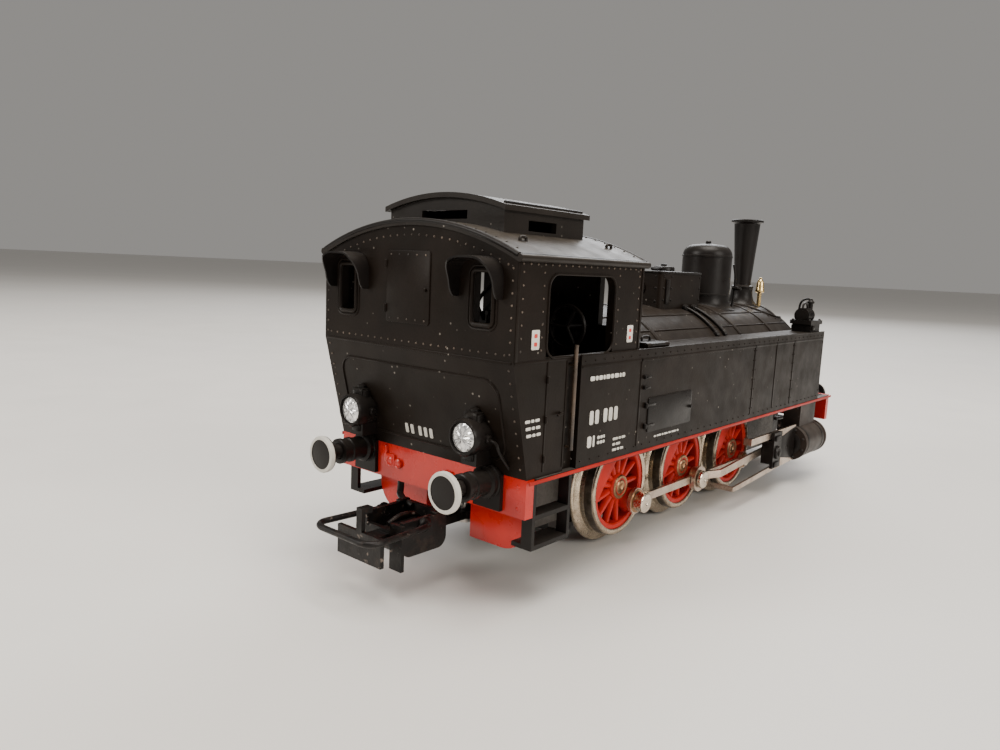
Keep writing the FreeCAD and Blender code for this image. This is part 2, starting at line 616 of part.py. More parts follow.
def make_worm(wheel_turn):
    """Single-start worm on the motor shaft, its thread centred on a gap of the worm wheel."""
    module, radius = value("tooth_module"), value("worm_radius")
    pitch, length = math.pi * module, value("worm_length")
    root = radius - 1.2 * module
    turns = math.floor(length / pitch) - 1
    tooth = 360 / value("worm_wheel_teeth")
    tooth_from_top = (wheel_turn - 90 + tooth / 2) % tooth - tooth / 2
    wheel_radius = module * value("worm_wheel_teeth") / 2
    shift = pitch / 2 - wheel_radius * math.radians(tooth_from_top)
    shift = (shift + turns * pitch / 2 + pitch / 2) % pitch - pitch / 2
    thread_start = length / 2 - turns * pitch / 2 + shift
    helix = Part.makeHelix(pitch, turns * pitch, root)
    half_root, half_tip = 0.3 * pitch, 0.09 * pitch
    tip = radius + 0.9 * module
    sunk = root - 0.15
    corners = [Vector(sunk, 0, -half_root), Vector(tip, 0, -half_tip),
               Vector(tip, 0, half_tip), Vector(sunk, 0, half_root)]
    thread = Part.Wire(helix).makePipeShell([Part.makePolygon(corners + corners[:1])], True, True)
    thread.translate(Vector(0, 0, thread_start))
    core = Part.makeCylinder(root, length)
    bore = Part.makeCylinder(value("shaft_radius"), 2 * length, Vector(0, 0, -length / 2))
    worm = core.fuse(thread).cut(bore)
    turn = Rotation(Vector(0, 1, 0), 90)
    middle = Vector(value(WORM_X), 0, value("motor_z"))
    return moved(worm, Placement(middle, turn))


def make_gears():
    idler_angle = math.degrees(math.atan2(value(IDLER_Z) - value(AXLE_Z),
                                          value(IDLER_X) - value("middle_axle_x")))
    axle_pitch, idler_pitch = 360 / value("axle_teeth"), 360 / value("idler_teeth")
    axle_turn = idler_angle
    idler_turn = idler_angle + 180 + idler_pitch / 2
    meet = math.degrees(math.atan2(value(WORM_WHEEL_Z) - value(IDLER_Z),
                                   value("middle_axle_x") - value(IDLER_X)))
    phase = (meet - idler_turn) / idler_pitch
    wheel_turn = meet + 180 + (0.5 + phase) * axle_pitch
    places = {
        "axle_gear": ("axle_teeth", "axle_radius", axle_turn, "middle_axle_x", AXLE_Z),
        "idler_gear": ("idler_teeth", "gear_pin_radius + running_gap", idler_turn, IDLER_X, IDLER_Z),
        "worm_wheel": ("worm_wheel_teeth", "gear_pin_radius + running_gap", wheel_turn,
                       "middle_axle_x", WORM_WHEEL_Z),
    }
    for name, (teeth, bore, turn, x, z) in places.items():
        gear = shaped(name, gear_shape(teeth, bore, turn))
        place(gear, x, "0", z)
        node(name, gear)
    pins = []
    for name, x, z in (("idler", IDLER_X, IDLER_Z), ("worm_wheel", "middle_axle_x", WORM_WHEEL_Z)):
        pins.append(cylinder("pin_of_" + name, "Y", "gear_pin_radius", "2 * gear_pin_y",
                             x, "-gear_pin_y", z))
    node("gear_pins", group("gear_pins", *pins))
    node("worm", shaped("worm", make_worm(wheel_turn)))


def make_motor():
    """Round can motor in the boiler, its brush end facing the cab."""
    front = "motor_back_x + motor_length"
    can = cut(
        "motor_can",
        cylinder("can_outer", "X", "motor_radius", "motor_length", "motor_back_x", "0", "motor_z"),
        cylinder("can_inner", "X", "motor_radius - motor_wall", "motor_length - motor_wall",
                 "motor_back_x", "0", "motor_z"),
        cylinder("can_hole", "X", "shaft_radius + running_gap", "3 * motor_wall",
                 f"{front} - 2 * motor_wall", "0", "motor_z"),
    )
    node("motor_can", can)
    cap = cut(
        "motor_cap",
        fuse("cap_blank",
             cylinder("cap_disc", "X", "motor_radius - motor_wall", "motor_cap_length",
                      "motor_back_x", "0", "motor_z"),
             cylinder("cap_boss", "X", "boss_radius", "boss_length",
                      "motor_back_x - boss_length", "0", "motor_z"),
             side_box("brush_left", 1, "motor_back_x - 1.3", "motor_back_x", "3.3", "4.4",
                      "motor_z - 0.8", "motor_z + 0.8"),
             side_box("brush_right", -1, "motor_back_x - 1.3", "motor_back_x", "3.3", "4.4",
                      "motor_z - 0.8", "motor_z + 0.8")),
        cylinder("boss_recess", "X", "boss_radius - 0.6", "boss_length - 0.8",
                 "motor_back_x - boss_length", "0", "motor_z"),
        cylinder("cap_hole", "X", "shaft_radius + running_gap", "3 * motor_cap_length",
                 "motor_back_x - boss_length", "0", "motor_z"),
    )
    node("motor_cap", cap)
    rotor_back = "motor_back_x + motor_cap_length + 0.5"
    rotor_length = "motor_length - motor_cap_length - motor_wall - 1"
    shaft_start = "motor_back_x - boss_length + 0.5"
    armature = fuse(
        "armature",
        cylinder("motor_shaft", "X", "shaft_radius", f"{WORM_X} + worm_length + 0.4 - ({shaft_start})",
                 shaft_start, "0", "motor_z"),
        cylinder("rotor", "X", "rotor_radius", rotor_length, rotor_back, "0", "motor_z"),
    )
    node("armature", armature)


def make_chassis():
    """Die-cast block with axle slots, a gear well and seats for the motor and the worm gear."""
    block = box("chassis_block", "-chassis_x", "chassis_x", "-chassis_y", "chassis_y",
                "chassis_bottom_z", "chassis_top_z")
    pedestal = box("motor_pedestal", "motor_back_x + 1", "motor_back_x + motor_length - 1",
                   "-pedestal_y", "pedestal_y", "chassis_top_z", "motor_z - motor_radius + 1.4")
    bearer = box("gear_bearer", "middle_axle_x - 4.6", f"{IDLER_X} + 3.2", "-gear_bearer_y",
                 "gear_bearer_y", "chassis_top_z", "gear_bearer_top_z")
    well = box("gear_well", "middle_axle_x - 4.8", f"{IDLER_X} + 3.7", "-well_y", "well_y",
               "chassis_bottom_z - 1", "gear_bearer_top_z + 1")
    cradle = cylinder("motor_cradle", "X", "motor_radius", "motor_length + 1", "motor_back_x",
                      "0", "motor_z")
    worm_room = cylinder("worm_room", "X", "worm_radius + 1.2", "worm_length + 3",
                         f"{WORM_X} - 1.2", "0", "motor_z")
    slots = []
    for axle, x in AXLES.items():
        reach = "axle_radius + running_gap"
        slots.append(cylinder(f"axle_seat_{axle}", "Y", reach, "2 * chassis_y + 2", x,
                              "-chassis_y - 1", AXLE_Z))
        slots.append(box(f"axle_slot_{axle}", f"{x} - {reach}", f"{x} + {reach}", "-chassis_y - 1",
                         "chassis_y + 1", "chassis_bottom_z - 1", AXLE_Z))
    for name, x, z in (("idler", IDLER_X, IDLER_Z), ("worm_wheel", "middle_axle_x", WORM_WHEEL_Z)):
        slots.append(cylinder("seat_of_" + name, "Y", "gear_pin_radius", "2 * gear_pin_y",
                              x, "-gear_pin_y", z))
    for end_name, end in ENDS.items():
        slots.append(end_box("coupler_pocket_" + end_name, end, "pocket_x", "chassis_x + 1",
                             "-pocket_y", "pocket_y", "chassis_bottom_z - 1", "pocket_top_z"))
        slots.append(cylinder("coupler_pin_hole_" + end_name, "Z", "coupler_pin_radius", "2.5",
                              f"{end} * coupler_pivot_x", "0", "pocket_top_z - 0.5"))
        slots.append(cylinder("screw_hole_" + end_name, "Z", "screw_radius", "screw_length",
                              f"middle_axle_x + {end} * screw_reach", "0", "chassis_bottom_z - 0.5"))
    chassis = cut("chassis_frame", fuse("chassis_blank", block, pedestal, bearer),
                  well, cradle, worm_room, *slots)
    node("chassis_frame", chassis)


def make_keeper():
    """Bottom plate that holds the axles in their slots, with its two screws."""
    back = f"{AXLES['rear']} - keeper_overhang"
    front = f"{AXLES['front']} + keeper_overhang"
    bottom = "chassis_bottom_z - keeper_thick"
    plate = box("keeper_blank", back, front, "-chassis_y", "chassis_y", bottom, "chassis_bottom_z")
    gear_slot = box("keeper_gear_slot", "middle_axle_x - 4.2", "middle_axle_x + 4.2", "-well_y",
                    "well_y", f"{bottom} - 1", "chassis_bottom_z + 1")
    holes, screws = [], []
    for end_name, end in ENDS.items():
        x = f"middle_axle_x + {end} * screw_reach"
        holes.append(cylinder("keeper_hole_" + end_name, "Z", "screw_radius", "2 * keeper_thick",
                              x, "0", f"{bottom} - 0.5"))
        head = cylinder("screw_head_" + end_name, "Z", "screw_head_radius", "screw_head_thick",
                        x, "0", f"{bottom} - screw_head_thick")
        slot = box("screw_slot_" + end_name, f"{x} - screw_head_radius", f"{x} + screw_head_radius",
                   "-0.2", "0.2", f"{bottom} - screw_head_thick - 1", f"{bottom} - 0.25")
        shank = cylinder("screw_shank_" + end_name, "Z", "screw_radius",
                         "keeper_thick + screw_length - 0.6", x, "0", bottom)
        screws.append(cut("screw_" + end_name, fuse("screw_blank_" + end_name, head, shank), slot))
    node("keeper_plate", cut("keeper_plate", plate, gear_slot, *holes))
    node("keeper_screws", group("keeper_screws", *screws))


def make_pickups():
    """Bronze strips on the chassis sides with a wiper finger behind every wheel."""
    strips = []
    for side_name, side in SIDES.items():
        y_out = "chassis_y + strip_thick"
        parts = [side_box("strip_" + side_name, side, f"{AXLES['rear']} - 3", f"{AXLES['front']} + 3",
                          "chassis_y", y_out, "strip_z", "strip_z + strip_height")]
        for axle, x in AXLES.items():
            parts.append(side_box(f"finger_{axle}_{side_name}", side, f"{x} + 2.2", f"{x} + 3",
                                  y_out, f"{y_out} + finger_reach", "strip_z", "strip_z + 0.6"))
        strips.append(fuse("pickup_" + side_name, *parts))
    node("pickup_strips", group("pickup_strips", *strips))


def make_ballast():
    block = prism("ballast_weight", "YZ", [
        ("-ballast_y", "chassis_top_z"), ("ballast_y", "chassis_top_z"),
        ("ballast_y", "ballast_top_z - 3"), ("ballast_y - 2.4", "ballast_top_z"),
        ("2.4 - ballast_y", "ballast_top_z"), ("-ballast_y", "ballast_top_z - 3"),
    ], "ballast_front_x - ballast_back_x", x="(ballast_front_x + ballast_back_x) / 2")
    node("ballast_weight", block)


# ---------------------------------------------------------------- footplate, beams, buffers

def make_footplate():
    plate = box("deck_blank", f"-{FRAME_END}", FRAME_END, "-deck_y", "deck_y", DECK_BOTTOM, "deck_top_z")
    opening = box("deck_opening", "-chassis_x", "chassis_x", "-chassis_y", "chassis_y",
                  f"{DECK_BOTTOM} - 1", "deck_top_z + 1")
    wells = [side_box(f"wheel_well_{axle}_{name}", side, f"{x} - wheel_well_half",
                      f"{x} + wheel_well_half", "chassis_y - 1", "wheel_well_y",
                      f"{DECK_BOTTOM} - 1", "deck_top_z + 1")
             for axle, x in AXLES.items() for name, side in SIDES.items()]
    node("footplate", cut("footplate", plate, opening, *wells))


def make_beams():
    for end_name, end in ENDS.items():
        bottom = end_name + "_beam_z"
        beam = end_box("beam_blank_" + end_name, end, FRAME_END, "beam_x", "-beam_y", "beam_y",
                       bottom, "deck_top_z")
        holes = [end_cylinder(f"beam_hole_{end_name}_{side_name}", end, "plunger_radius",
                              f"{FRAME_END} - 1", "beam_x + 1", f"{side} * buffer_y", "buffer_z")
                 for side_name, side in SIDES.items()]
        node("buffer_beam_" + end_name, cut("buffer_beam_" + end_name, beam, *holes))
    plate = prism("apron_plate", "YZ", [
        ("-apron_y", "apron_z"), ("-apron_slot_y", "apron_z"), ("-apron_slot_y", "apron_slot_z"),
        ("apron_slot_y", "apron_slot_z"), ("apron_slot_y", "apron_z"), ("apron_y", "apron_z"),
        ("apron_y", DECK_BOTTOM), ("-apron_y", DECK_BOTTOM),
    ], "apron_thick", x="apron_thick / 2 - apron_x")
    corner_y = value("apron_y") - 0.01

    def lower_corner(edge):
        low = edge.BoundBox.ZMax < value("apron_z") + 0.01
        return along("X")(edge) and low and abs(edge.BoundBox.Center.y) > corner_y
    round_edges(plate, "apron_corner", lower_corner)
    node("rear_apron", plate)


def make_buffers():
    """Round buffers: a stepped sleeve on the beam and a sprung-looking head with a rim."""
    sleeves, heads = [], []
    cab_foot = cab_outline("sleeve_cab_foot", "0")
    for end_name, end in ENDS.items():
        for side_name, side in SIDES.items():
            tag, y = f"{end_name}_{side_name}", f"{side} * buffer_y"
            z = "buffer_z"
            tube = end_cylinder("sleeve_tube_" + tag, end, "sleeve_radius", "beam_x",
                                "beam_x + sleeve_length", y, z)
            foot = end_cylinder("sleeve_foot_" + tag, end, "sleeve_foot_radius", "beam_x",
                                "beam_x + 1.1", y, z)
            flange = end_box("sleeve_flange_" + tag, end, "beam_x", "beam_x + 0.5",
                             f"{y} - 1.9", f"{y} + 1.9", "rear_beam_z + 0.3", "deck_top_z")
            spigot = end_cylinder("sleeve_spigot_" + tag, end, "plunger_radius", FRAME_END,
                                  "beam_x + 0.2", y, z)
            bore = end_cylinder("sleeve_bore_" + tag, end, "plunger_radius + running_gap",
                                "beam_x + 0.3", "beam_x + sleeve_length + 1", y, z)
            blank = fuse("sleeve_blank_" + tag, tube, foot, flange, spigot)
            sleeves.append(cut("sleeve_" + tag, blank, bore, cab_foot))
            disc = end_cylinder("head_disc_" + tag, end, "buffer_head_radius", "buffer_x - 0.8",
                                "buffer_x", y, z)
            stem = end_cylinder("head_stem_" + tag, end, "plunger_radius", "beam_x + 0.4",
                                "buffer_x - 0.5", y, z)
            heads.append(fuse("head_" + tag, disc, stem))
    node("buffer_sleeves", group("buffer_sleeves", *sleeves))
    node("buffer_heads", group("buffer_heads", *heads))


def make_steps():
    """Cab steps: two hangers and two treads under each side of the cab."""
    ladders = []
    for side_name, side in SIDES.items():
        back, front = "step_back_x", "step_front_x"
        parts = [
            side_box("hanger_back_" + side_name, side, back, f"{back} + step_plate",
                     "hanger_in", "step_out", "step_bottom_z", DECK_BOTTOM),
            side_box("hanger_front_" + side_name, side, f"{front} - step_plate", front,
                     "hanger_in", "step_out", "step_bottom_z", DECK_BOTTOM),
            side_box("tread_low_" + side_name, side, back, front, "step_in", "step_out",
                     "step_bottom_z", "step_bottom_z + tread_thick"),
            side_box("tread_high_" + side_name, side, back, front, "step_in + 0.9", "step_out",
                     "step_middle_z", "step_middle_z + tread_thick"),
        ]
        ladders.append(fuse("ladder_" + side_name, *parts))
    node("cab_steps", group("cab_steps", *ladders))


# ---------------------------------------------------------------- couplers

def make_coupler(end_name):
    """Swinging coupler head: shank, yoke, hook plate with its horn, and a release tab."""
    end, tag = ENDS[end_name], end_name
    top = "shank_z + shank_height"
    eye = cylinder("shank_eye_" + tag, "Z", "coupler_pin_radius + 1", "shank_height",
                   f"{end} * coupler_pivot_x", "0", "shank_z")
    shank = end_box("shank_" + tag, end, "coupler_pivot_x", "yoke_in_x + 1", "-shank_y", "shank_y",
                    "shank_z", top)
    outer = prism("yoke_outer_" + tag, "XZ", [
        (f"{end} * yoke_in_x", "yoke_bottom_z"), (f"{end} * yoke_out_x", "yoke_bottom_z"),
        (f"{end} * yoke_out_x", "yoke_top_z"), (f"{end} * yoke_in_x", "yoke_top_z"),
    ], "2 * yoke_y")
    round_edges(outer, "yoke_corner", lambda edge: along("Y")(edge)
                and edge.BoundBox.ZMax < value("yoke_bottom_z") + 0.01)
    yoke = cut(
        "yoke_" + tag, outer,
        end_box("yoke_inner_" + tag, end, "yoke_in_x + yoke_wall", "yoke_out_x - yoke_wall",
                "yoke_wall - yoke_y", "yoke_y - yoke_wall", "yoke_bottom_z + yoke_wall",
                "yoke_top_z + 1"),
        end_box("yoke_chamfer_" + tag, end, "yoke_out_x - 1", "yoke_out_x + 1",
                "yoke_wall - yoke_y", "yoke_y - yoke_wall", "shank_z + 1.4", "yoke_top_z + 1"),
        cylinder("yoke_bore_" + tag, "Y", "loop_pin_radius + running_gap", "3 * yoke_y",
                 f"{end} * loop_pivot_x", "-1.5 * yoke_y", "loop_z"),
    )
    tongue = end_box("tongue_" + tag, end, "yoke_out_x - yoke_wall", "hook_x", "-1.0", "1.0",
                     "shank_z", top)
    hook = end_box("hook_plate_" + tag, end, "hook_x - hook_thick", "hook_x", "-hook_y", "hook_y",
                   "hook_z", "hook_top_z")
    horn = end_box("horn_" + tag, end, "hook_x - hook_thick", "hook_x", "-horn_y", "horn_y",
                   "hook_z", "horn_top_z")
    barb = end_box("barb_" + tag, end, "hook_x - 1.5", "hook_x", "-horn_y", "horn_y",
                   "horn_top_z - 0.7", "horn_top_z")
    release = side_box("release_" + tag, end, f"{end} * (yoke_out_x + 0.225) - 0.225",
                       f"{end} * (yoke_out_x + 0.225) + 0.225", "1.7", "hook_y",
                       "release_z", "yoke_top_z - 0.2")
    blank = fuse("coupler_blank_" + tag, eye, shank, yoke, tongue, hook, horn, barb, release)
    bore = cylinder("shank_bore_" + tag, "Z", "coupler_pin_radius + running_gap", "3",
                    f"{end} * coupler_pivot_x", "0", "shank_z - 1")
    node("coupler_head_" + tag, cut("coupler_head_" + tag, blank, bore))


def make_loop(end_name):
    """Bent wire bail that lifts on two pivots in the yoke."""
    end = ENDS[end_name]
    far, wide, start = value("loop_x"), value("loop_y"), value("loop_pivot_x")
    wire, z = value("loop_wire"), value("loop_z")
    bend, neck = 1.6, value("yoke_y") + 0.75

    def at(x, y):
        return Vector(end * x, y, z)

    def rod(first, last):
        return Part.makeCylinder(wire, (last - first).Length, first, last - first)
    pieces = [rod(at(far, bend - wide), at(far, wide - bend))]
    for side in (1, -1):
        inner, shoulder = at(start, side * neck), at(start + 2.2, side * (wide - 0.3))
        corner = at(far - bend, side * wide)
        pieces += [rod(inner, shoulder), rod(shoulder, corner)]
        pieces += [Part.makeSphere(wire, inner), Part.makeSphere(wire, shoulder)]
        elbow = Part.makeTorus(bend, wire, Vector(), Vector(0, 0, 1), 0, 360, 90)
        turn = {(1, 1): 0, (-1, 1): 90, (-1, -1): 180, (1, -1): 270}[(end, side)]
        where = Placement(at(far - bend, side * (wide - bend)), Rotation(Vector(0, 0, 1), turn))
        pieces.append(moved(elbow, where))
        y_start = value("yoke_y - yoke_wall + 0.1")
        pieces.append(Part.makeCylinder(value("loop_pin_radius"), neck + 0.3 - y_start,
                                        at(start, side * y_start), Vector(0, side, 0)))
    loop = pieces[0].multiFuse(pieces[1:])
    node("coupler_loop_" + end_name, shaped("coupler_loop_" + end_name, loop))


def make_couplers():
    pins = []
    for end_name, end in ENDS.items():
        make_coupler(end_name)
        make_loop(end_name)
        x = f"{end} * coupler_pivot_x"
        head = cylinder("pivot_head_" + end_name, "Z", "coupler_pin_radius + 0.5", "0.5",
                        x, "0", "shank_z - side_gap - 0.5")
        shank = cylinder("pivot_shank_" + end_name, "Z", "coupler_pin_radius",
                         "pocket_top_z + 2 - shank_z + side_gap", x, "0", "shank_z - side_gap")
        pins.append(fuse("pivot_" + end_name, head, shank))
    node("coupler_pins", group("coupler_pins", *pins))


# ---------------------------------------------------------------- tanks, boiler and its fittings

def boiler_barrel(name, radius, x0, x1):
    return cylinder(name, "X", radius, f"({x1}) - ({x0})", x0, "0", "boiler_z")


def make_body():
    """One moulding: both side tanks, the boiler between them and the smokebox."""
    tanks = box("tank_outer", "cab_front_x", "tank_front_x", "-tank_y", "tank_y",
                "deck_top_z", "tank_top_z")
    wings = [side_box("tank_wing_" + name, side, "tank_back_x", "cab_front_x", "cab_y", "tank_y",
                      "deck_top_z", "tank_top_z") for name, side in SIDES.items()]
    clip = box("boiler_clip", "cab_front_x", "boiler_front_x", "-tank_y", "tank_y",
               "deck_top_z", "boiler_z + boiler_radius + 1")
    barrel = common("boiler_arc", boiler_barrel("boiler_outer", "boiler_radius", "cab_front_x",
                                                "boiler_front_x"), clip)
    petal = cylinder("petal_cut", "Z", "petal_radius", "10", "petal_x", "0", "tank_top_z")
    smokebox = common(
        "smokebox_top",
        cylinder("smokebox_outer", "X", "smokebox_radius", "smokebox_front_x - cab_front_x",
                 "cab_front_x", "0", "smokebox_z"),
        box("smokebox_clip", "cab_front_x", "smokebox_front_x", "-tank_y", "tank_y",
            "deck_top_z", "boiler_z + boiler_radius + 1"),
    )
    outer = fuse("body_outer", tanks, *wings, cut("boiler_top", barrel, petal), smokebox)
    fillers = []
    for name, side in SIDES.items():
        fillers.append(side_box("filler_" + name, side, "filler_x - filler_length / 2",
                                "filler_x + filler_length / 2", "filler_in", "filler_out",
                                "tank_top_z", "tank_top_z + filler_height"))
        fillers.append(cylinder("filler_hinge_" + name, "X", "0.35", "filler_length + 0.8",
                                "filler_x - filler_length / 2 - 0.4",
                                f"{side} * (filler_out + 0.2)", "tank_top_z + 0.35"))
    inner_tank = box("tank_inner", "cab_front_x - 1", "tank_front_x - body_wall",
                     "body_wall - tank_y", "tank_y - body_wall", "deck_top_z - 1",
                     "tank_top_z - body_wall")
    inner_boiler = boiler_barrel("boiler_inner", "boiler_radius - body_wall", "cab_front_x - 1",
                                 "petal_x - petal_radius - body_wall")
    inner_smokebox = cylinder("smokebox_inner", "X", "smokebox_radius - body_wall",
                              "smokebox_front_x - body_wall - cab_front_x + 1", "cab_front_x - 1",
                              "0", "smokebox_z")
    inner = fuse("body_inner", inner_tank, inner_boiler, inner_smokebox)
    keep = box("body_keep", "tank_back_x - 1", "tank_front_x + 1", "-tank_y - 1", "tank_y + 1",
               "deck_top_z", "boiler_z + boiler_radius + 5")
    hollow = common("body_hollow", cut("body_walls", outer, inner), keep)
    node("body_shell", fuse("body_shell", hollow, *fillers))
    node("smokebox_door", turned("smokebox_door", "X", [
        ("0", "0"), ("door_radius", "0"), ("door_radius", "0.35 * door_thick"),
        ("door_radius - 0.7", "0.55 * door_thick"), ("0.55 * door_radius", "0.85 * door_thick"),
        ("1.1", "door_thick"), ("1.1", "door_thick + 0.7"), ("0", "door_thick + 0.7"),
    ], x="smokebox_front_x", z="smokebox_z"))


def on_boiler(name, thing):
    """Trim a fitting so that it sits on the boiler."""
    seat = fuse(name + "_seat", boiler_barrel(name + "_arc", "boiler_radius", "cab_front_x",
                                              "petal_x - petal_radius"),
                cylinder(name + "_smoke", "X", "smokebox_radius", "smokebox_front_x - cab_front_x",
                         "cab_front_x", "0", "smokebox_z"))
    return cut(name, thing, seat)


def make_dome():
    flare = "dome_radius + dome_flare"
    profile = turned("dome_turning", "Z", [
        ("0", "boiler_z + boiler_radius - 2.2"), (flare, "boiler_z + boiler_radius - 2.2"),
        (flare, "boiler_z + boiler_radius - 1.2"),
        ("dome_radius + 0.45 * dome_flare", "boiler_z + boiler_radius - 0.5"),
        ("dome_radius", "boiler_z + boiler_radius + 0.9"), ("dome_radius", "dome_top_z - 2.3"),
        ("0.94 * dome_radius", "dome_top_z - 1.3"), ("0.78 * dome_radius", "dome_top_z - 0.6"),
        ("0.5 * dome_radius", "dome_top_z - 0.15"), ("0.45", "dome_top_z"),
        ("0.45", "dome_top_z + 0.45"), ("0", "dome_top_z + 0.5"),
    ], x="dome_x")
    node("steam_dome", on_boiler("steam_dome", profile))


def make_chimney():
    base = "smokebox_z + smokebox_radius"
    profile = turned("chimney_turning", "Z", [
        ("0", f"{base} - 1.6"), ("chimney_collar_radius + 0.9", f"{base} - 1.6"),
        ("chimney_collar_radius + 0.8", f"{base} - 0.2"), ("chimney_collar_radius", f"{base} + 0.9"),
        ("chimney_collar_radius", "chimney_collar_z"),
        ("chimney_foot_radius", "chimney_collar_z + 0.35"),
        ("chimney_top_radius", "chimney_top_z - rim_height - 0.2"),
        ("chimney_rim_radius", "chimney_top_z - rim_height"),
        ("chimney_rim_radius", "chimney_top_z"), ("chimney_bore_radius", "chimney_top_z"),
        ("0.6 * chimney_bore_radius", "chimney_collar_z + 2"), ("0", "chimney_collar_z + 2"),
    ], x="chimney_x")
    node("chimney", on_boiler("chimney", profile))


def make_sandbox():
    bottom = "boiler_z + boiler_radius - 2"
    block = prism("sandbox_block", "XY", [
        ("sandbox_back_x", "-sandbox_y"), ("sandbox_front_x", "-sandbox_y"),
        ("sandbox_front_x", "sandbox_y"), ("sandbox_back_x", "sandbox_y"),
    ], f"sandbox_top_z - ({bottom})", z=f"(sandbox_top_z + {bottom}) / 2")
    round_edges(block, "0.7", along("Z"))
    lid = cylinder("sandbox_lid", "Z", "sandbox_lid_radius", "sandbox_lid_height",
                   "sandbox_lid_x", "0", "sandbox_top_z")
    knob = cylinder("sandbox_knob", "Z", "0.45", "0.35", "sandbox_lid_x", "0",
                    "sandbox_top_z + sandbox_lid_height")
    node("sandbox", on_boiler("sandbox", fuse("sandbox_parts", block, lid, knob)))


def make_sand_pipes():
    """Four thin pipes that lie round the boiler from the sandbox to the tank tops."""
    pipes = []
    ring = value("boiler_radius + pipe_radius")
    start = math.degrees(math.asin(value("sandbox_y + pipe_tuck") / ring))
    end = math.degrees(math.acos(value("tank_top_z + pipe_rise - boiler_z") / ring))
    for side_name, side in SIDES.items():
        for x in (value("pipe_back_x"), value("pipe_back_x + pipe_pitch")):
            pipe = Part.makeTorus(ring, value("pipe_radius"), Vector(), Vector(0, 0, 1), 0, 360, end - start)
            tilt = Rotation(Vector(0, 1, 0), -90)
            first = start if side > 0 else -end
            turn = tilt.multiply(Rotation(Vector(0, 0, 1), first))
            where = Placement(Vector(x, 0, value("boiler_z")), turn)
            pipes.append(moved(pipe, where))
    node("sand_pipes", shaped("sand_pipes", Part.makeCompound(pipes)))


def make_whistle():
    post = "smokebox_z + 0.97 * smokebox_radius"
    profile = turned("whistle_turning", "Z", [
        ("0", post), ("0.4", post), ("0.4", "whistle_z"), ("whistle_radius", "whistle_z"),
        ("whistle_radius", "whistle_z + 0.45"), ("0.85 * whistle_radius", "whistle_z + 1.3"),
        ("0.7 * whistle_radius", "whistle_top_z - 0.7"), ("0.35", "whistle_top_z - 0.3"),
        ("0", "whistle_top_z"),
    ], x="whistle_x", y="whistle_y")
    seat = cylinder("whistle_seat", "X", "smokebox_radius", "20", "whistle_x - 10", "0", "smokebox_z")
    node("whistle", cut("whistle", profile, seat))


def make_pump():
    """Feed pump on the front of the right tank: base, table, finned barrel and valve."""
    top, x, y, barrel_z = "tank_top_z", "pump_x", "pump_y", "tank_top_z + 2.95"
    parts = [
        box("pump_base", f"{x} - 2.2", f"{x} + 2.4", f"{y} - 1.7", f"{y} + 1.7", top, f"{top} + 1.4"),
        box("pump_table", f"{x} - 2.9", f"{x} + 3.0", f"{y} - 1.9", f"{y} + 1.9",
            f"{top} + 1.4", f"{top} + 2.1"),
        cylinder("pump_barrel", "X", "1.0", "3.2", f"{x} - 2.7", y, barrel_z),
        cylinder("pump_valve", "Z", "0.42", "3.4", f"{x} + 1.5", y, f"{top} + 2.1"),
        cylinder("pump_elbow", "X", "0.4", "1.2", f"{x} + 0.4", y, barrel_z),
    ]
    for i in range(5):
        parts.append(cylinder(f"pump_fin_{i}", "X", "1.35", "0.28", f"{x} - 2.6 + {0.66 * i}", y,
                              barrel_z))
    seat = boiler_barrel("pump_seat", "boiler_radius", "cab_front_x", "boiler_front_x")
    node("feed_pump", cut("feed_pump", fuse("feed_pump_parts", *parts), seat))


# ---------------------------------------------------------------- cab

ROOF_Z = "(roof_ridge_z - roof_radius)"


def cab_outline(name, grow):
    """Side view of the cab, leaning forward below the waist; grow < 0 goes inwards."""
    return prism(name, "XZ", [
        (f"cab_foot_x - ({grow})", "deck_top_z"), (f"cab_back_x - ({grow})", "waist_z"),
        (f"cab_back_x - ({grow})", "roof_ridge_z + 1"), (f"cab_front_x + ({grow})", "roof_ridge_z + 1"),
        (f"cab_front_x + ({grow})", "deck_top_z"),
    ], f"2 * (cab_y + ({grow}))")


def window(name, side, x0, x1, z0, z1):
    """Opening in a side wall with rounded top corners."""
    r = "corner_radius"
    y_in, y_out = "cab_y - 3 * cab_wall", "cab_y + 3 * cab_wall"
    return fuse(
        name,
        side_box(name + "_low", side, x0, x1, y_in, y_out, z0, f"{z1} - {r}"),
        side_box(name + "_high", side, f"{x0} + {r}", f"{x1} - {r}", y_in, y_out,
                 f"{z1} - 1.5 * {r}", z1),
        side_cylinder(name + "_back", side, r, f"{x0} + {r}", y_in, y_out, f"{z1} - {r}"),
        side_cylinder(name + "_front", side, r, f"{x1} - {r}", y_in, y_out, f"{z1} - {r}"),
    )


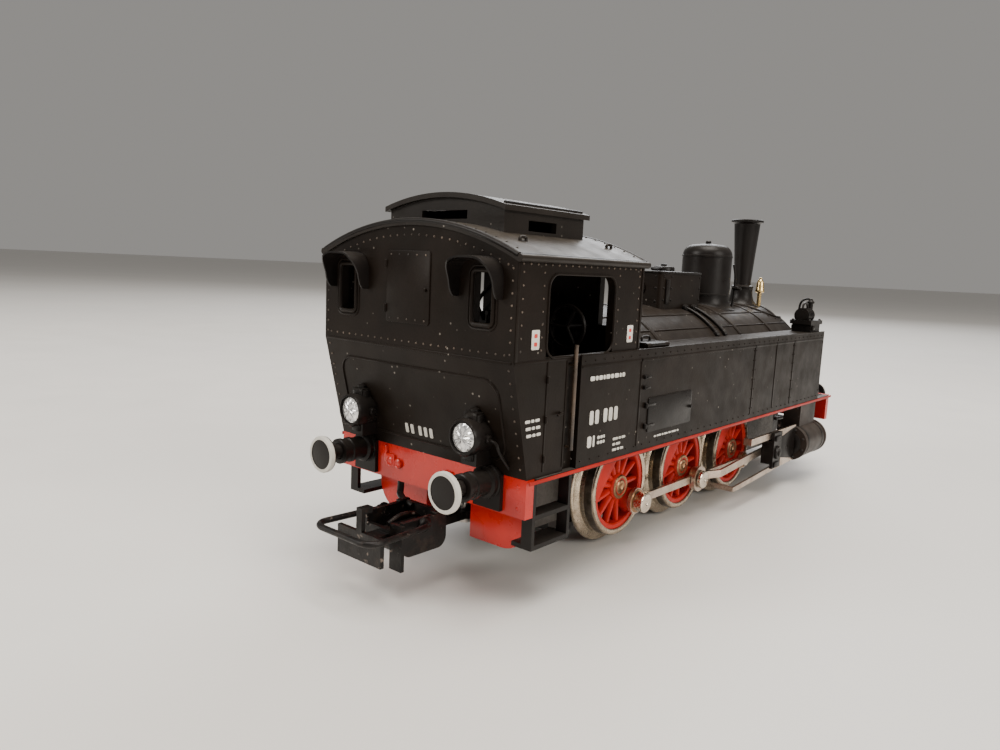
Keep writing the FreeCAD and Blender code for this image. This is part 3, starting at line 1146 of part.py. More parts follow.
def make_cab():
    under_roof = cylinder("under_roof", "X", "roof_radius - roof_thick", "60", "cab_back_x - 10",
                          "0", ROOF_Z)
    walls = common("cab_walls", cab_outline("cab_outer", "0"), under_roof)
    tools = [cab_outline("cab_inner", "-cab_wall")]
    tools.append(box("cab_floor_cut", "cab_foot_x + cab_wall", "cab_front_x - cab_wall",
                     "cab_wall - cab_y", "cab_y - cab_wall", "deck_top_z - 1", "deck_top_z + 1"))
    for name, side in SIDES.items():
        tools.append(window("door_opening_" + name, side, "door_back_x", "door_front_x",
                            "sill_z", "door_top_z"))
        tools.append(side_box("hand_slot_" + name, side, "hand_slot_x", "tank_back_x",
                              "cab_y - hand_slot_depth", "cab_y + 1", "deck_top_z - 1", "sill_z - 0.6"))
        tools.append(side_box("rear_window_" + name, side, "cab_back_x - 1", "cab_back_x + 2",
                              "rear_window_in", "rear_window_out", "rear_window_z",
                              "rear_window_top_z"))
        tools.append(side_box("front_window_" + name, side, "cab_front_x - 2", "cab_front_x + 1",
                              "front_window_in", "front_window_out", "rear_window_z - 0.8",
                              "rear_window_top_z"))
    tools.append(box("cab_passage", "cab_front_x - 2", "cab_front_x + 1", "-cab_passage_y",
                     "cab_passage_y", "deck_top_z - 1", "tank_top_z - body_wall"))
    tools.append(boiler_barrel("passage_arch", "boiler_radius - body_wall", "cab_front_x - 2",
                               "cab_front_x + 1"))
    node("cab_shell", cut("cab_shell", walls, *tools))


def make_roof():
    back, front = "cab_back_x - roof_overhang", "cab_front_x + roof_overhang"
    length = f"({front}) - ({back})"
    sheet_clip = box("roof_clip", back, front, "-roof_y", "roof_y", "waist_z", "roof_ridge_z + 1")
    skin = cut(
        "roof_skin",
        common("roof_blank", cylinder("roof_out", "X", "roof_radius", length, back, "0", ROOF_Z),
               sheet_clip),
        cylinder("roof_in", "X", "roof_radius - roof_thick", "60", "cab_back_x - 10", "0", ROOF_Z),
    )
    eave = f"({ROOF_Z} + sqrt((roof_radius - roof_thick / 2) ^ 2 - roof_y ^ 2))"
    gutters = []
    for name, side in SIDES.items():
        bead = cylinder("gutter_bead_" + name, "X", "gutter_radius", length, back,
                        f"{side} * (roof_y + 0.1)", eave)
        inside = side_box("gutter_inside_" + name, side, f"{back} - 1", f"{front} + 1",
                          "cab_y - 2", "cab_y", "waist_z", "roof_ridge_z")
        gutters.append(cut("gutter_" + name, bead, inside))
    roof = fuse("cab_roof", skin, *gutters)
    node("cab_roof", roof)


def make_ventilator():
    """Clerestory on the cab roof: four walls with openings and its own curved lid."""
    seat = cylinder("vent_seat", "X", "roof_radius", "60", "cab_back_x - 10", "0", ROOF_Z)
    lid_radius = "((vent_y ^ 2 + (vent_ridge_z - vent_eave_z) ^ 2) / (2 * (vent_ridge_z - vent_eave_z)))"
    lid_z = f"(vent_ridge_z - {lid_radius})"
    under_lid = cylinder("vent_under_lid", "X", f"{lid_radius} - vent_roof_thick", "60",
                         "cab_back_x - 10", "0", lid_z)
    block = common("vent_block", box("vent_outer", "vent_back_x", "vent_front_x", "-vent_y", "vent_y",
                                     "waist_z + 10", "vent_ridge_z"), under_lid)
    openings = [box("vent_inside", "vent_back_x + vent_wall", "vent_front_x - vent_wall",
                    "vent_wall - vent_y", "vent_y - vent_wall", "waist_z + 9", "vent_ridge_z + 1")]
    for name, side in SIDES.items():
        openings.append(side_box("vent_window_" + name, side, "vent_window_back_x",
                                 "vent_window_front_x", "vent_y - 2", "vent_y + 1",
                                 "vent_window_z", "vent_window_top_z"))
    openings.append(box("vent_slot", "vent_back_x - 1", "vent_back_x + 2", "-vent_slot_y",
                        "vent_slot_y", "roof_ridge_z + 0.3", "vent_slot_top_z"))
    walls = cut("ventilator_walls", block, seat, *openings)
    lid = cut(
        "ventilator_lid",
        common("vent_lid_blank",
               cylinder("vent_lid_out", "X", lid_radius,
                        "vent_front_x - vent_back_x + 2 * vent_overhang",
                        "vent_back_x - vent_overhang", "0", lid_z),
               box("vent_lid_clip", "vent_back_x - 1", "vent_front_x + 1", "-vent_y - vent_overhang",
                   "vent_y + vent_overhang", "roof_ridge_z", "vent_ridge_z + 1")),
        cylinder("vent_lid_in", "X", f"{lid_radius} - vent_roof_thick", "60", "cab_back_x - 10",
                 "0", lid_z),
    )
    node("roof_ventilator", fuse("roof_ventilator", walls, lid))


def make_lamps():
    housings, lenses = [], []
    wall = cab_outline("lamp_wall", "0")
    for end_name, end in ENDS.items():
        face = end_name + "_lamp_x"
        seat_x = "tank_front_x" if end > 0 else "-cab_foot_x - 1"
        for side_name, side in SIDES.items():
            tag, y = f"{end_name}_{side_name}", f"{side} * lamp_y"
            can = end_cylinder("lamp_can_" + tag, end, "lamp_radius", seat_x, f"{face} - 0.25",
                               y, "lamp_z")
            cap = end_box("lamp_cap_" + tag, end, seat_x, f"{face} - 1.2", f"{y} - 0.9",
                          f"{y} + 0.9", "lamp_z + 0.6", "lamp_z + lamp_radius + lamp_cap")
            foot = end_box("lamp_foot_" + tag, end, seat_x, f"{face} - 1.2", f"{y} - 1.1",
                           f"{y} + 1.1", "buffer_z + sleeve_foot_radius + 0.15", "lamp_z")
            bore = end_cylinder("lamp_bore_" + tag, end, "lens_radius", f"{face} - lens_thick",
                                f"{face} + 1", y, "lamp_z")
            tools = [bore] if end > 0 else [bore, wall]
            housings.append(cut("lamp_" + tag, fuse("lamp_blank_" + tag, can, cap, foot), *tools))
            lenses.append(end_cylinder("lens_" + tag, end, "lens_radius", f"{face} - lens_thick",
                                       face, y, "lamp_z"))
    node("lamp_housings", group("lamp_housings", *housings))
    node("lamp_lenses", group("lamp_lenses", *lenses))


def make_handrails():
    """Upright grab rails beside the cab doors, each on two short feet."""
    rails = []
    x = "(hand_slot_x + tank_back_x) / 2"
    for side_name, side in SIDES.items():
        low, high = "deck_top_z + 2.2", "sill_z + 1.2"
        upright = cylinder("rail_" + side_name, "Z", "rail_radius", f"({high}) - ({low})",
                           x, f"{side} * (cab_y + 0.25)", low)
        feet = [side_cylinder(f"rail_foot_{i}_{side_name}", side, "0.7 * rail_radius", x,
                              "cab_y - hand_slot_depth", "cab_y + 0.25", z)
                for i, z in enumerate((f"{low} + 0.3", "sill_z - 1"))]
        rails.append(fuse("handrail_" + side_name, upright, *feet))
    node("handrails", group("handrails", *rails))


# ---------------------------------------------------------------- build and write

def build():
    make_wheelsets()
    make_motion()
    make_gears()
    make_motor()
    make_chassis()
    make_keeper()
    make_pickups()
    make_ballast()
    make_footplate()
    make_beams()
    make_buffers()
    make_steps()
    make_couplers()
    make_body()
    make_dome()
    make_chimney()
    make_sandbox()
    make_sand_pipes()
    make_whistle()
    make_pump()
    make_cab()
    make_roof()
    make_ventilator()
    make_lamps()
    make_handrails()


def check_and_write():
    """Refuse failed features and bad solids, then write one file for each node."""
    doc.recompute()
    failed = [o.Name for o in doc.Objects if {"Invalid", "Error"} & set(o.State)]
    if failed:
        raise RuntimeError("features that failed: " + ", ".join(failed))
    for name, thing in nodes.items():
        if thing.Shape.isNull() or not thing.Shape.isValid() or not thing.Shape.Solids:
            raise RuntimeError("bad shape: " + name)
    os.makedirs("parts", exist_ok=True)
    for name, thing in nodes.items():
        thing.Shape.exportStep(f"parts/{name}.step")
        print(f"{name:24s} solids {len(thing.Shape.Solids):2d}  volume {thing.Shape.Volume:9.2f}")
    print(len(nodes), "nodes")


build()
check_and_write()
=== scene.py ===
import logging
import math
from dataclasses import dataclass, field
from enum import Enum
from typing import Iterable, Optional, Sequence

import bmesh
import bpy
import numpy as np
from mathutils import Matrix, Vector


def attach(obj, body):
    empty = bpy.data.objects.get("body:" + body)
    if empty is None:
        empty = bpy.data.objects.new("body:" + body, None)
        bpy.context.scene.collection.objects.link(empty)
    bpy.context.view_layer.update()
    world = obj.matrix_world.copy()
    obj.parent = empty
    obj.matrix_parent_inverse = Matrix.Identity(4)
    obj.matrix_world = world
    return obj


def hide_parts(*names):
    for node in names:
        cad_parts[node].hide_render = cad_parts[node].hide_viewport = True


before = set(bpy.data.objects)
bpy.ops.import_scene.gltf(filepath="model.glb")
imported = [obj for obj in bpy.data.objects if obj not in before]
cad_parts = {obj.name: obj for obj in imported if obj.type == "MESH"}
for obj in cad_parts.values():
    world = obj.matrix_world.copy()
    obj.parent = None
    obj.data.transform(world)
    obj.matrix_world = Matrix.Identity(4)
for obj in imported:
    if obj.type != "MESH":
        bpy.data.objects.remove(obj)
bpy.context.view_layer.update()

# A six-coupled side-tank locomotive in H0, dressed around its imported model. Sizes in
# the classes are millimetres: +X forwards, +Y to the left side, +Z up, the wheel
# flanges standing on Z = 0. Shape turns them into metres.

log = logging.getLogger("locomotive")
Array = np.ndarray
Colour = tuple[float, float, float]
Point = tuple[float, float, float]
MM = 0.001
SMOOTH_ANGLE = math.radians(38)
ROOT = "locomotive"
ROOF_RADIUS = 36.15
ROOF_RIDGE = 40.8
RIVET = (0.13, 0.09)
SMALL_RIVET = (0.12, 0.08)
WHEEL_SIDES = 96
BARREL_SIDES = 72
FITTING_SIDES = 40
SMALL_SIDES = 32


class Side(Enum):
    """The two sides of the locomotive, as the sign of Y."""

    LEFT = 1
    RIGHT = -1


class End(Enum):
    """The two ends of the locomotive, as the sign of X."""

    FRONT = 1
    REAR = -1


class Axis(Enum):
    """The row's axes, as their place in a point."""

    X = 0
    Y = 1
    Z = 2


# ---------------------------------------------------------------- surfaces

def across(axis: Axis) -> tuple[int, int]:
    """The two coordinates of a flat drawing that stands square to an axis."""
    return {Axis.X: (1, 2), Axis.Y: (0, 2), Axis.Z: (0, 1)}[axis]


def lay(drawing: Array, axis: Axis, height: Array | float) -> Array:
    """Stand a flat drawing square to an axis.

    Args:
        drawing: points (..., 2) in the plane across the axis.
        axis: the axis the drawing stands square to.
        height: place along the axis, one number or one for each point.

    Returns:
        Points (..., 3).
    """
    points = np.empty(drawing.shape[:-1] + (3,))
    first, second = across(axis)
    points[..., first], points[..., second] = drawing[..., 0], drawing[..., 1]
    points[..., axis.value] = height
    return points


def places(x: Array | float, y: Array | float, z: Array | float) -> Array:
    """Points from their coordinates; a single number stands for all of them."""
    return np.stack(np.broadcast_arrays(x, y, z), axis=1).astype(float)


def circle(segments: int, start: float = 0.0) -> Array:
    """Unit circle: (cos t, sin t) for t in equal steps round a full turn."""
    t = start + 2 * math.pi * np.arange(segments) / segments
    return np.stack([np.cos(t), np.sin(t)], axis=1)


def rounded(width: float, height: float, radius: float, centre: tuple[float, float] = (0, 0),
            steps: int = 4) -> Array:
    """Outline of a rectangle with round corners: four quarter circles, joined by straights."""
    t = np.linspace(0, math.pi / 2, steps + 1)
    corners = []
    for turn, (sx, sy) in enumerate(((1, 1), (-1, 1), (-1, -1), (1, -1))):
        arc = np.stack([np.cos(t + turn * math.pi / 2), np.sin(t + turn * math.pi / 2)], axis=1)
        corners.append(arc * radius + [sx * (width / 2 - radius), sy * (height / 2 - radius)])
    return np.concatenate(corners) + np.asarray(centre, float)


def inset(drawing: Array, depth: float) -> Array:
    """Move a closed outline inwards, each corner along its mitre."""
    ahead = np.roll(drawing, -1, axis=0) - drawing
    u, v = drawing[:, 0], drawing[:, 1]
    area = np.sum(u * np.roll(v, -1) - v * np.roll(u, -1))
    normal = np.stack([-ahead[:, 1], ahead[:, 0]], axis=1) * (1 if area > 0 else -1)
    normal /= np.maximum(np.linalg.norm(normal, axis=1, keepdims=True), 1e-9)
    before = np.roll(normal, 1, axis=0)
    mitre = normal + before
    mitre /= np.maximum(1 + np.sum(normal * before, axis=1, keepdims=True), 0.35)
    return drawing + depth * mitre


def turned_rings(profile: Sequence[tuple[float, float]], axis: Axis, centre: Point,
                 segments: int = 48) -> Array:
    """Rings of a turned piece: each profile point (r, d) becomes a circle round the axis.

    Args:
        profile: (radius, distance along the axis) from one end to the other.
        axis: the axis of turning.
        centre: where distance is nought.
        segments: points in each ring.

    Returns:
        Rings (len(profile), segments, 3).
    """
    values = np.asarray(profile, float)
    rings = values[:, None, :1] * circle(segments)[None]
    points = lay(rings, axis, values[:, 1:2])
    return points + np.asarray(centre, float)


def plate_rings(drawing: Array, axis: Axis, low: float, high: float, bevel: float) -> Array:
    """Rings of a flat plate: its outline at both faces, drawn in by the bevel at the very edges."""
    levels = ((bevel, low), (0.3 * bevel, low + 0.3 * bevel), (0, low + bevel),
              (0, high - bevel), (0.3 * bevel, high - 0.3 * bevel), (bevel, high))
    return np.stack([lay(inset(drawing, depth), axis, level) for depth, level in levels])


def tube_rings(path: Array, radius: float | Array, sides: int = 12, closed: bool = False) -> Array:
    """Rings of a wire carried along a path.

    Each ring is path + r * (cos t * n + sin t * b), where n is the last ring's normal with
    its share along the new direction taken off, and b is the direction crossed with n.

    Args:
        path: points (n, 3).
        radius: one number, or one for each point.
        sides: points in each ring.
        closed: whether the path's end meets its start.

    Returns:
        Rings (n, sides, 3).
    """
    ahead = np.roll(path, -1, axis=0) - path
    behind = path - np.roll(path, 1, axis=0)
    if not closed:
        ahead[-1], behind[0] = behind[-1], ahead[0]
    direction = ahead / np.linalg.norm(ahead, axis=1, keepdims=True)
    direction = direction + behind / np.linalg.norm(behind, axis=1, keepdims=True)
    direction /= np.linalg.norm(direction, axis=1, keepdims=True)
    normal = np.zeros_like(path)
    guess = np.array([0.0, 0.0, 1.0]) if abs(direction[0, 2]) < 0.8 else np.array([0.0, 1.0, 0.0])
    for i, along in enumerate(direction):
        guess = guess - along * np.dot(guess, along)
        guess = guess / np.linalg.norm(guess)
        normal[i] = guess
    other = np.cross(direction, normal)
    round_it = circle(sides)
    spread = round_it[None, :, :1] * normal[:, None] + round_it[None, :, 1:] * other[:, None]
    return path[:, None] + np.broadcast_to(radius, len(path))[:, None, None] * spread


def smooth_path(points: Iterable[Point], steps: int = 8) -> Array:
    """Curve through points, a Catmull-Rom cubic between each pair."""
    p = np.asarray(list(points), float)
    p = np.concatenate([2 * p[:1] - p[1:2], p, 2 * p[-1:] - p[-2:-1]])
    t = np.linspace(0, 1, steps, endpoint=False)[None, :, None]
    a, b, c, d = (p[i:len(p) - 3 + i, None] for i in range(4))
    curve = 0.5 * (2 * b + (c - a) * t + (2 * a - 5 * b + 4 * c - d) * t ** 2
                   + (3 * b - a - 3 * c + d) * t ** 3)
    return np.concatenate([curve.reshape(-1, 3), p[-2:-1]])


class Shape:
    """Millimetre vertices and faces of one piece, added up from closed skins."""

    def __init__(self) -> None:
        """Start with nothing."""
        self.points: list[Array] = []
        self.faces: list[tuple[int, ...]] = []
        self.count = 0

    def skin(self, rings: Array, closed: bool = False) -> "Shape":
        """Add a closed surface stretched over rings, its ends shut by flat faces.

        Args:
            rings: (n, m, 3), each ring a closed loop of m points.
            closed: whether the last ring joins the first, as in a hoop.

        Returns:
            This shape.
        """
        n, m = rings.shape[:2]
        index = self.count + np.arange(n * m).reshape(n, m)
        rows = index if closed else index[:-1]
        after = np.roll(index, -1, axis=0) if closed else index[1:]
        quads = np.stack([rows, np.roll(rows, -1, axis=1), np.roll(after, -1, axis=1),
                          after], axis=-1)
        faces = [tuple(f) for f in quads.reshape(-1, 4).tolist()]
        flat = rings.reshape(-1, 3)
        if not closed:
            faces += [tuple(index[0, ::-1].tolist()), tuple(index[-1].tolist())]
        if self.volume(flat, faces, self.count) < 0:
            faces = [f[::-1] for f in faces]
        self.points.append(flat)
        self.faces += faces
        self.count += n * m
        return self

    @staticmethod
    def volume(points: Array, faces: list[tuple[int, ...]], first: int) -> float:
        """Signed volume: for each face, its fan of triangles dotted and crossed, summed."""
        total = 0.0
        middle = points.mean(axis=0)
        by_size: dict[int, list[tuple[int, ...]]] = {}
        for face in faces:
            by_size.setdefault(len(face), []).append(face)
        for group in by_size.values():
            corners = points[np.asarray(group) - first] - middle
            a, b, c = corners[:, :1], corners[:, 1:-1], corners[:, 2:]
            total += float(np.sum(a * np.cross(b, c)))
        return total

    def turned(self, profile: Sequence[tuple[float, float]], axis: Axis, centre: Point,
               segments: int = 48) -> "Shape":
        """Add a turned piece."""
        return self.skin(turned_rings(profile, axis, centre, segments))

    def hoop(self, profile: Sequence[tuple[float, float]], axis: Axis, centre: Point,
             segments: int) -> "Shape":
        """Add a turned ring, whose profile closes on itself."""
        return self.skin(turned_rings(profile, axis, centre, segments), closed=True)

    def bead(self, path: Array, radius: float) -> "Shape":
        """Add a round bead along a closed path."""
        return self.skin(tube_rings(path, np.full(len(path), radius), 8, closed=True), closed=True)

    def plate(self, drawing: Array, axis: Axis, low: float, high: float,
              bevel: float = 0.06) -> "Shape":
        """Add a flat plate with eased edges."""
        return self.skin(plate_rings(drawing, axis, low, high, bevel))

    def sheet(self, drawing: Array, side: Side, inner: float, outer: float,
              bevel: float) -> "Shape":
        """Add a flat plate upright on one side, from one distance off the middle to another."""
        low, high = sorted((side.value * inner, side.value * outer))
        return self.plate(drawing, Axis.Y, low, high, bevel)

    def block(self, low: Point, high: Point, bevel: float = 0.1, along: Axis = Axis.Z) -> "Shape":
        """Add a block with every edge eased."""
        lo, hi = np.minimum(low, high), np.maximum(low, high)
        first, second = across(along)
        width, height = hi[first] - lo[first], hi[second] - lo[second]
        middle = ((hi[first] + lo[first]) / 2, (hi[second] + lo[second]) / 2)
        drawing = rounded(width, height, bevel, middle, 2)
        return self.plate(drawing, along, lo[along.value], hi[along.value], bevel)

    def wire(self, points: Iterable[Point], radius: float, sides: int = 10,
             steps: int = 8) -> "Shape":
        """Add a round wire through points."""
        path = smooth_path(points, steps)
        radii = np.full(len(path), radius)
        return self.skin(tube_rings(path, radii, sides))

    def straight(self, start: Point, end: Point, radius: float, sides: int = 12) -> "Shape":
        """Add a straight round bar with eased ends."""
        a, b = np.asarray(start, float), np.asarray(end, float)
        length = float(np.linalg.norm(b - a))
        ease = min(0.3 * radius, 0.3 * length) / length
        shares = np.array([0, ease, 1 - ease, 1])[:, None]
        radii = np.array([0.75, 1, 1, 0.75]) * radius
        return self.skin(tube_rings(a + (b - a) * shares, radii, sides))

    def rivets(self, centres: Array, axis: Axis, way: int, radius: float = 0.2,
               height: float = 0.13) -> "Shape":
        """Add a round-headed rivet at each centre, all turned the same way.

        Args:
            centres: (n, 3).
            axis: the axis the heads stand out along.
            way: +1 or -1, the way they point along it.
            radius: of a head.
            height: of a head.

        Returns:
            This shape.
        """
        profile = [(radius, -0.05), (radius, 0.0), (0.82 * radius, 0.6 * height),
                   (0.35 * radius, height)]
        one = turned_rings([(r, way * d) for r, d in profile], axis, (0, 0, 0), 8)
        for centre in np.asarray(centres, float):
            self.skin(one + centre)
        return self

    def object(self, name: str, finish: bpy.types.Material, body: str, slot: str,
               stands_for: Sequence[str] = ()) -> bpy.types.Object:
        """Make the object, hang it on the body it moves with and hide the nodes it replaces.

        Args:
            name: the piece's name.
            finish: its material.
            body: the body it moves with.
            slot: the name of its finish's material slot; not used.
            stands_for: the nodes it replaces, if any.

        Returns:
            The new object.
        """
        mesh = bpy.data.meshes.new(name)
        mesh.from_pydata((np.concatenate(self.points) * MM).tolist(), [], self.faces)
        mesh.polygons.foreach_set("use_smooth", np.ones(len(mesh.polygons), bool))
        mesh.set_sharp_from_angle(angle=SMOOTH_ANGLE)
        mesh.materials.append(finish)
        piece = bpy.data.objects.new(name, mesh)
        bpy.context.scene.collection.objects.link(piece)
        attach(piece, body)
        if stands_for:
            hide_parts(*stands_for)
        log.info("%s: %d faces on %s", name, len(mesh.polygons), body)
        return piece


# ---------------------------------------------------------------- finishes

class Nodes:
    """A material being laid out, read on Object coordinates."""

    def __init__(self, name: str) -> None:
        """Start a material with its shader joined to its output."""
        self.material = bpy.data.materials.new(name)
        self.material.use_nodes = True
        self.tree = self.material.node_tree
        self.tree.nodes.clear()
        self.shader = self.add("ShaderNodeBsdfPrincipled")
        self.link(self.shader.outputs[0], self.add("ShaderNodeOutputMaterial").inputs[0])
        self.place = self.add("ShaderNodeTexCoord").outputs["Object"]

    def add(self, kind: str, **inputs: object) -> bpy.types.Node:
        """Add a node and set its unlinked inputs by name, underscores standing for spaces."""
        made = self.tree.nodes.new(kind)
        for name, value in inputs.items():
            made.inputs[name.replace("_", " ")].default_value = value
        return made

    def link(self, source: bpy.types.NodeSocket, target: bpy.types.NodeSocket) -> None:
        """Join two sockets."""
        self.tree.links.new(source, target)

    def noise(self, scale: float, detail: float = 3.0, stretch: Optional[Point] = None,
              roughness: float = 0.55) -> bpy.types.NodeSocket:
        """Noise from 0 to 1, with so many features to the metre."""
        made = self.add("ShaderNodeTexNoise", Scale=scale, Detail=detail, Roughness=roughness)
        source = self.place
        if stretch:
            mapping = self.add("ShaderNodeMapping", Scale=stretch)
            self.link(self.place, mapping.inputs["Vector"])
            source = mapping.outputs["Vector"]
        self.link(source, made.inputs["Vector"])
        return made.outputs["Factor" if "Factor" in made.outputs else "Fac"]

    def cells(self, scale: float) -> bpy.types.NodeSocket:
        """Distance to the nearest of scattered points, so many to the metre."""
        made = self.add("ShaderNodeTexVoronoi", Scale=scale)
        self.link(self.place, made.inputs["Vector"])
        return made.outputs["Distance"]

    def span(self, source: bpy.types.NodeSocket, low: float, high: float, to_low: float = 0.0,
             to_high: float = 1.0) -> bpy.types.NodeSocket:
        """Stretch low..high of a value to to_low..to_high, held at both ends."""
        made = self.add("ShaderNodeMapRange")
        for name, value in (("From Min", low), ("From Max", high), ("To Min", to_low),
                            ("To Max", to_high)):
            made.inputs[name].default_value = value
        self.link(source, made.inputs["Value"])
        return made.outputs["Result"]

    def times(self, first: bpy.types.NodeSocket,
              second: bpy.types.NodeSocket) -> bpy.types.NodeSocket:
        """Product of two values."""
        made = self.add("ShaderNodeMath")
        made.operation = "MULTIPLY"
        self.link(first, made.inputs[0])
        self.link(second, made.inputs[1])
        return made.outputs[0]

    def blend(self, share: bpy.types.NodeSocket, below: object,
              above: object) -> bpy.types.NodeSocket:
        """Mix two colours, each a socket or three numbers, by a share."""
        made = self.add("ShaderNodeMix")
        made.data_type = "RGBA"
        self.link(share, made.inputs[0])
        for colour, target in ((below, made.inputs[6]), (above, made.inputs[7])):
            if isinstance(colour, bpy.types.NodeSocket):
                self.link(colour, target)
            else:
                target.default_value = (*colour, 1.0)
        return made.outputs[2]

    def upward(self) -> bpy.types.NodeSocket:
        """How far the surface faces up: the Z of its normal."""
        split = self.add("ShaderNodeSeparateXYZ")
        self.link(self.add("ShaderNodeNewGeometry").outputs["Normal"], split.inputs[0])
        return split.outputs["Z"]

    def relief(self, *layers: tuple[bpy.types.NodeSocket, float]) -> None:
        """Stack bumps, each a height and its depth in millimetres, under the shader's normal."""
        normal = None
        for height, depth in layers:
            bump = self.add("ShaderNodeBump", Strength=1.0, Distance=depth * MM)
            self.link(height, bump.inputs["Height"])
            if normal is not None:
                self.link(normal, bump.inputs["Normal"])
            normal = bump.outputs["Normal"]
        self.link(normal, self.shader.inputs["Normal"])


@dataclass(frozen=True)
class Plastic:
    """Moulded plastic or paint: mottled and grained, paler on upward faces (settled dust, and on
    the roof a painted top highlight), with small pale specks.
    """

    name: str
    colour: Colour
    mottle: Colour
    roughness: float = 0.42
    dust_and_sheen: Colour = (0.3, 0.26, 0.22)
    dust_and_sheen_amount: float = 0.35
    specks: float = 0.0
    grain: float = 0.012
    coat: float = 0.0
    gloss: float = 0.16

    def make(self) -> bpy.types.Material:
        """Lay the material out."""
        n = Nodes(self.name)
        colour = n.blend(n.span(n.noise(140, 4), 0.35, 0.68), self.colour, self.mottle)
        # upward faces blended towards a paler colour: settled dust, and on the roof a painted
        # highlight of the overhead light
        dust_and_sheen_share = n.times(n.span(n.upward(), 0.25, 0.95, 0.0, self.dust_and_sheen_amount),
                       n.span(n.noise(700, 6, roughness=0.7), 0.35, 0.7, 0.35, 1.0))
        colour = n.blend(dust_and_sheen_share, colour, self.dust_and_sheen)
        if self.specks:
            spots = n.times(n.span(n.cells(900), 0.13, 0.09),
                            n.span(n.noise(260, 2), 0.52, 0.66, 0, self.specks))
            colour = n.blend(spots, colour, (0.52, 0.47, 0.41))
        n.link(colour, n.shader.inputs["Base Color"])
        n.link(n.span(n.noise(330, 5), 0.3, 0.7, self.roughness - 0.07, self.roughness + 0.12),
               n.shader.inputs["Roughness"])
        n.shader.inputs["Specular IOR Level"].default_value = self.gloss
        n.shader.inputs["Coat Weight"].default_value = self.coat
        n.shader.inputs["Coat Roughness"].default_value = 0.12
        n.relief((n.noise(160, 2), 0.05), (n.noise(2600, 3), self.grain))
        return n.material


@dataclass(frozen=True)
class Metal:
    """Bare or plated metal: bright, with duller patches, fine scratches and a brushed grain."""

    name: str
    bright: Colour
    dull: Colour
    roughness: float = 0.28
    patches: float = 420.0
    tarnish: float = 0.6
    brushed: Point = (1.0, 1.0, 1.0)
    pits: float = 0.006

    def make(self) -> bpy.types.Material:
        """Lay the material out."""
        n = Nodes(self.name)
        patch = n.span(n.noise(self.patches, 5, roughness=0.65), 0.42, 0.68, 0.0, self.tarnish)
        n.link(n.blend(patch, self.bright, self.dull), n.shader.inputs["Base Color"])
        n.shader.inputs["Metallic"].default_value = 1.0
        grain = n.noise(3200, 2, self.brushed)
        n.link(n.span(grain, 0.3, 0.7, self.roughness - 0.06, self.roughness + 0.16),
               n.shader.inputs["Roughness"])
        n.relief((grain, self.pits), (n.noise(240, 2), 0.03))
        return n.material


@dataclass(frozen=True)
class Blackened:
    """Chemically blackened metal: dark, with brown bloom and worn bright crests."""

    name: str
    dark: Colour = (0.008, 0.0065, 0.006)
    bloom: Colour = (0.05, 0.033, 0.024)
    worn: Colour = (0.3, 0.24, 0.2)

    def make(self) -> bpy.types.Material:
        """Lay the material out."""
        n = Nodes(self.name)
        bloom = n.span(n.noise(420, 6, roughness=0.72), 0.52, 0.7, 0.0, 0.6)
        worn = n.times(n.span(n.noise(1500, 4), 0.6, 0.7), n.span(n.noise(300, 2), 0.5, 0.62))
        n.link(n.blend(worn, n.blend(bloom, self.dark, self.bloom), self.worn),
               n.shader.inputs["Base Color"])
        n.shader.inputs["Metallic"].default_value = 0.55
        n.link(n.span(n.noise(800, 4), 0.3, 0.7, 0.32, 0.6), n.shader.inputs["Roughness"])
        n.relief((n.noise(500, 4), 0.04), (n.noise(2400, 3), 0.02))
        return n.material


@dataclass(frozen=True)
class Reflector:
    """Silvered lamp face: small facets that catch the light one by one."""

    name: str
    silver: Colour = (0.93, 0.92, 0.89)
    shade: Colour = (0.62, 0.62, 0.63)

    def make(self) -> bpy.types.Material:
        """Lay the material out."""
        n = Nodes(self.name)
        facets = n.cells(1500)
        n.link(n.blend(n.span(facets, 0.1, 0.6), self.silver, self.shade),
               n.shader.inputs["Base Color"])
        n.shader.inputs["Metallic"].default_value = 0.75
        n.link(n.span(n.noise(900, 2), 0.3, 0.7, 0.12, 0.3), n.shader.inputs["Roughness"])
        n.shader.inputs["Coat Weight"].default_value = 0.8
        n.shader.inputs["Coat Roughness"].default_value = 0.05
        n.relief((facets, 0.09))
        return n.material


@dataclass(frozen=True)
class Floor:
    """Pale matt table top with a very faint cloudiness."""

    name: str

    def make(self) -> bpy.types.Material:
        """Lay the material out."""
        n = Nodes(self.name)
        n.link(n.blend(n.noise(9, 3), (0.62, 0.6, 0.57), (0.68, 0.66, 0.63)),
               n.shader.inputs["Base Color"])
        n.link(n.span(n.noise(60, 3), 0.3, 0.7, 0.5, 0.62), n.shader.inputs["Roughness"])
        n.relief((n.noise(500, 3), 0.02))
        return n.material


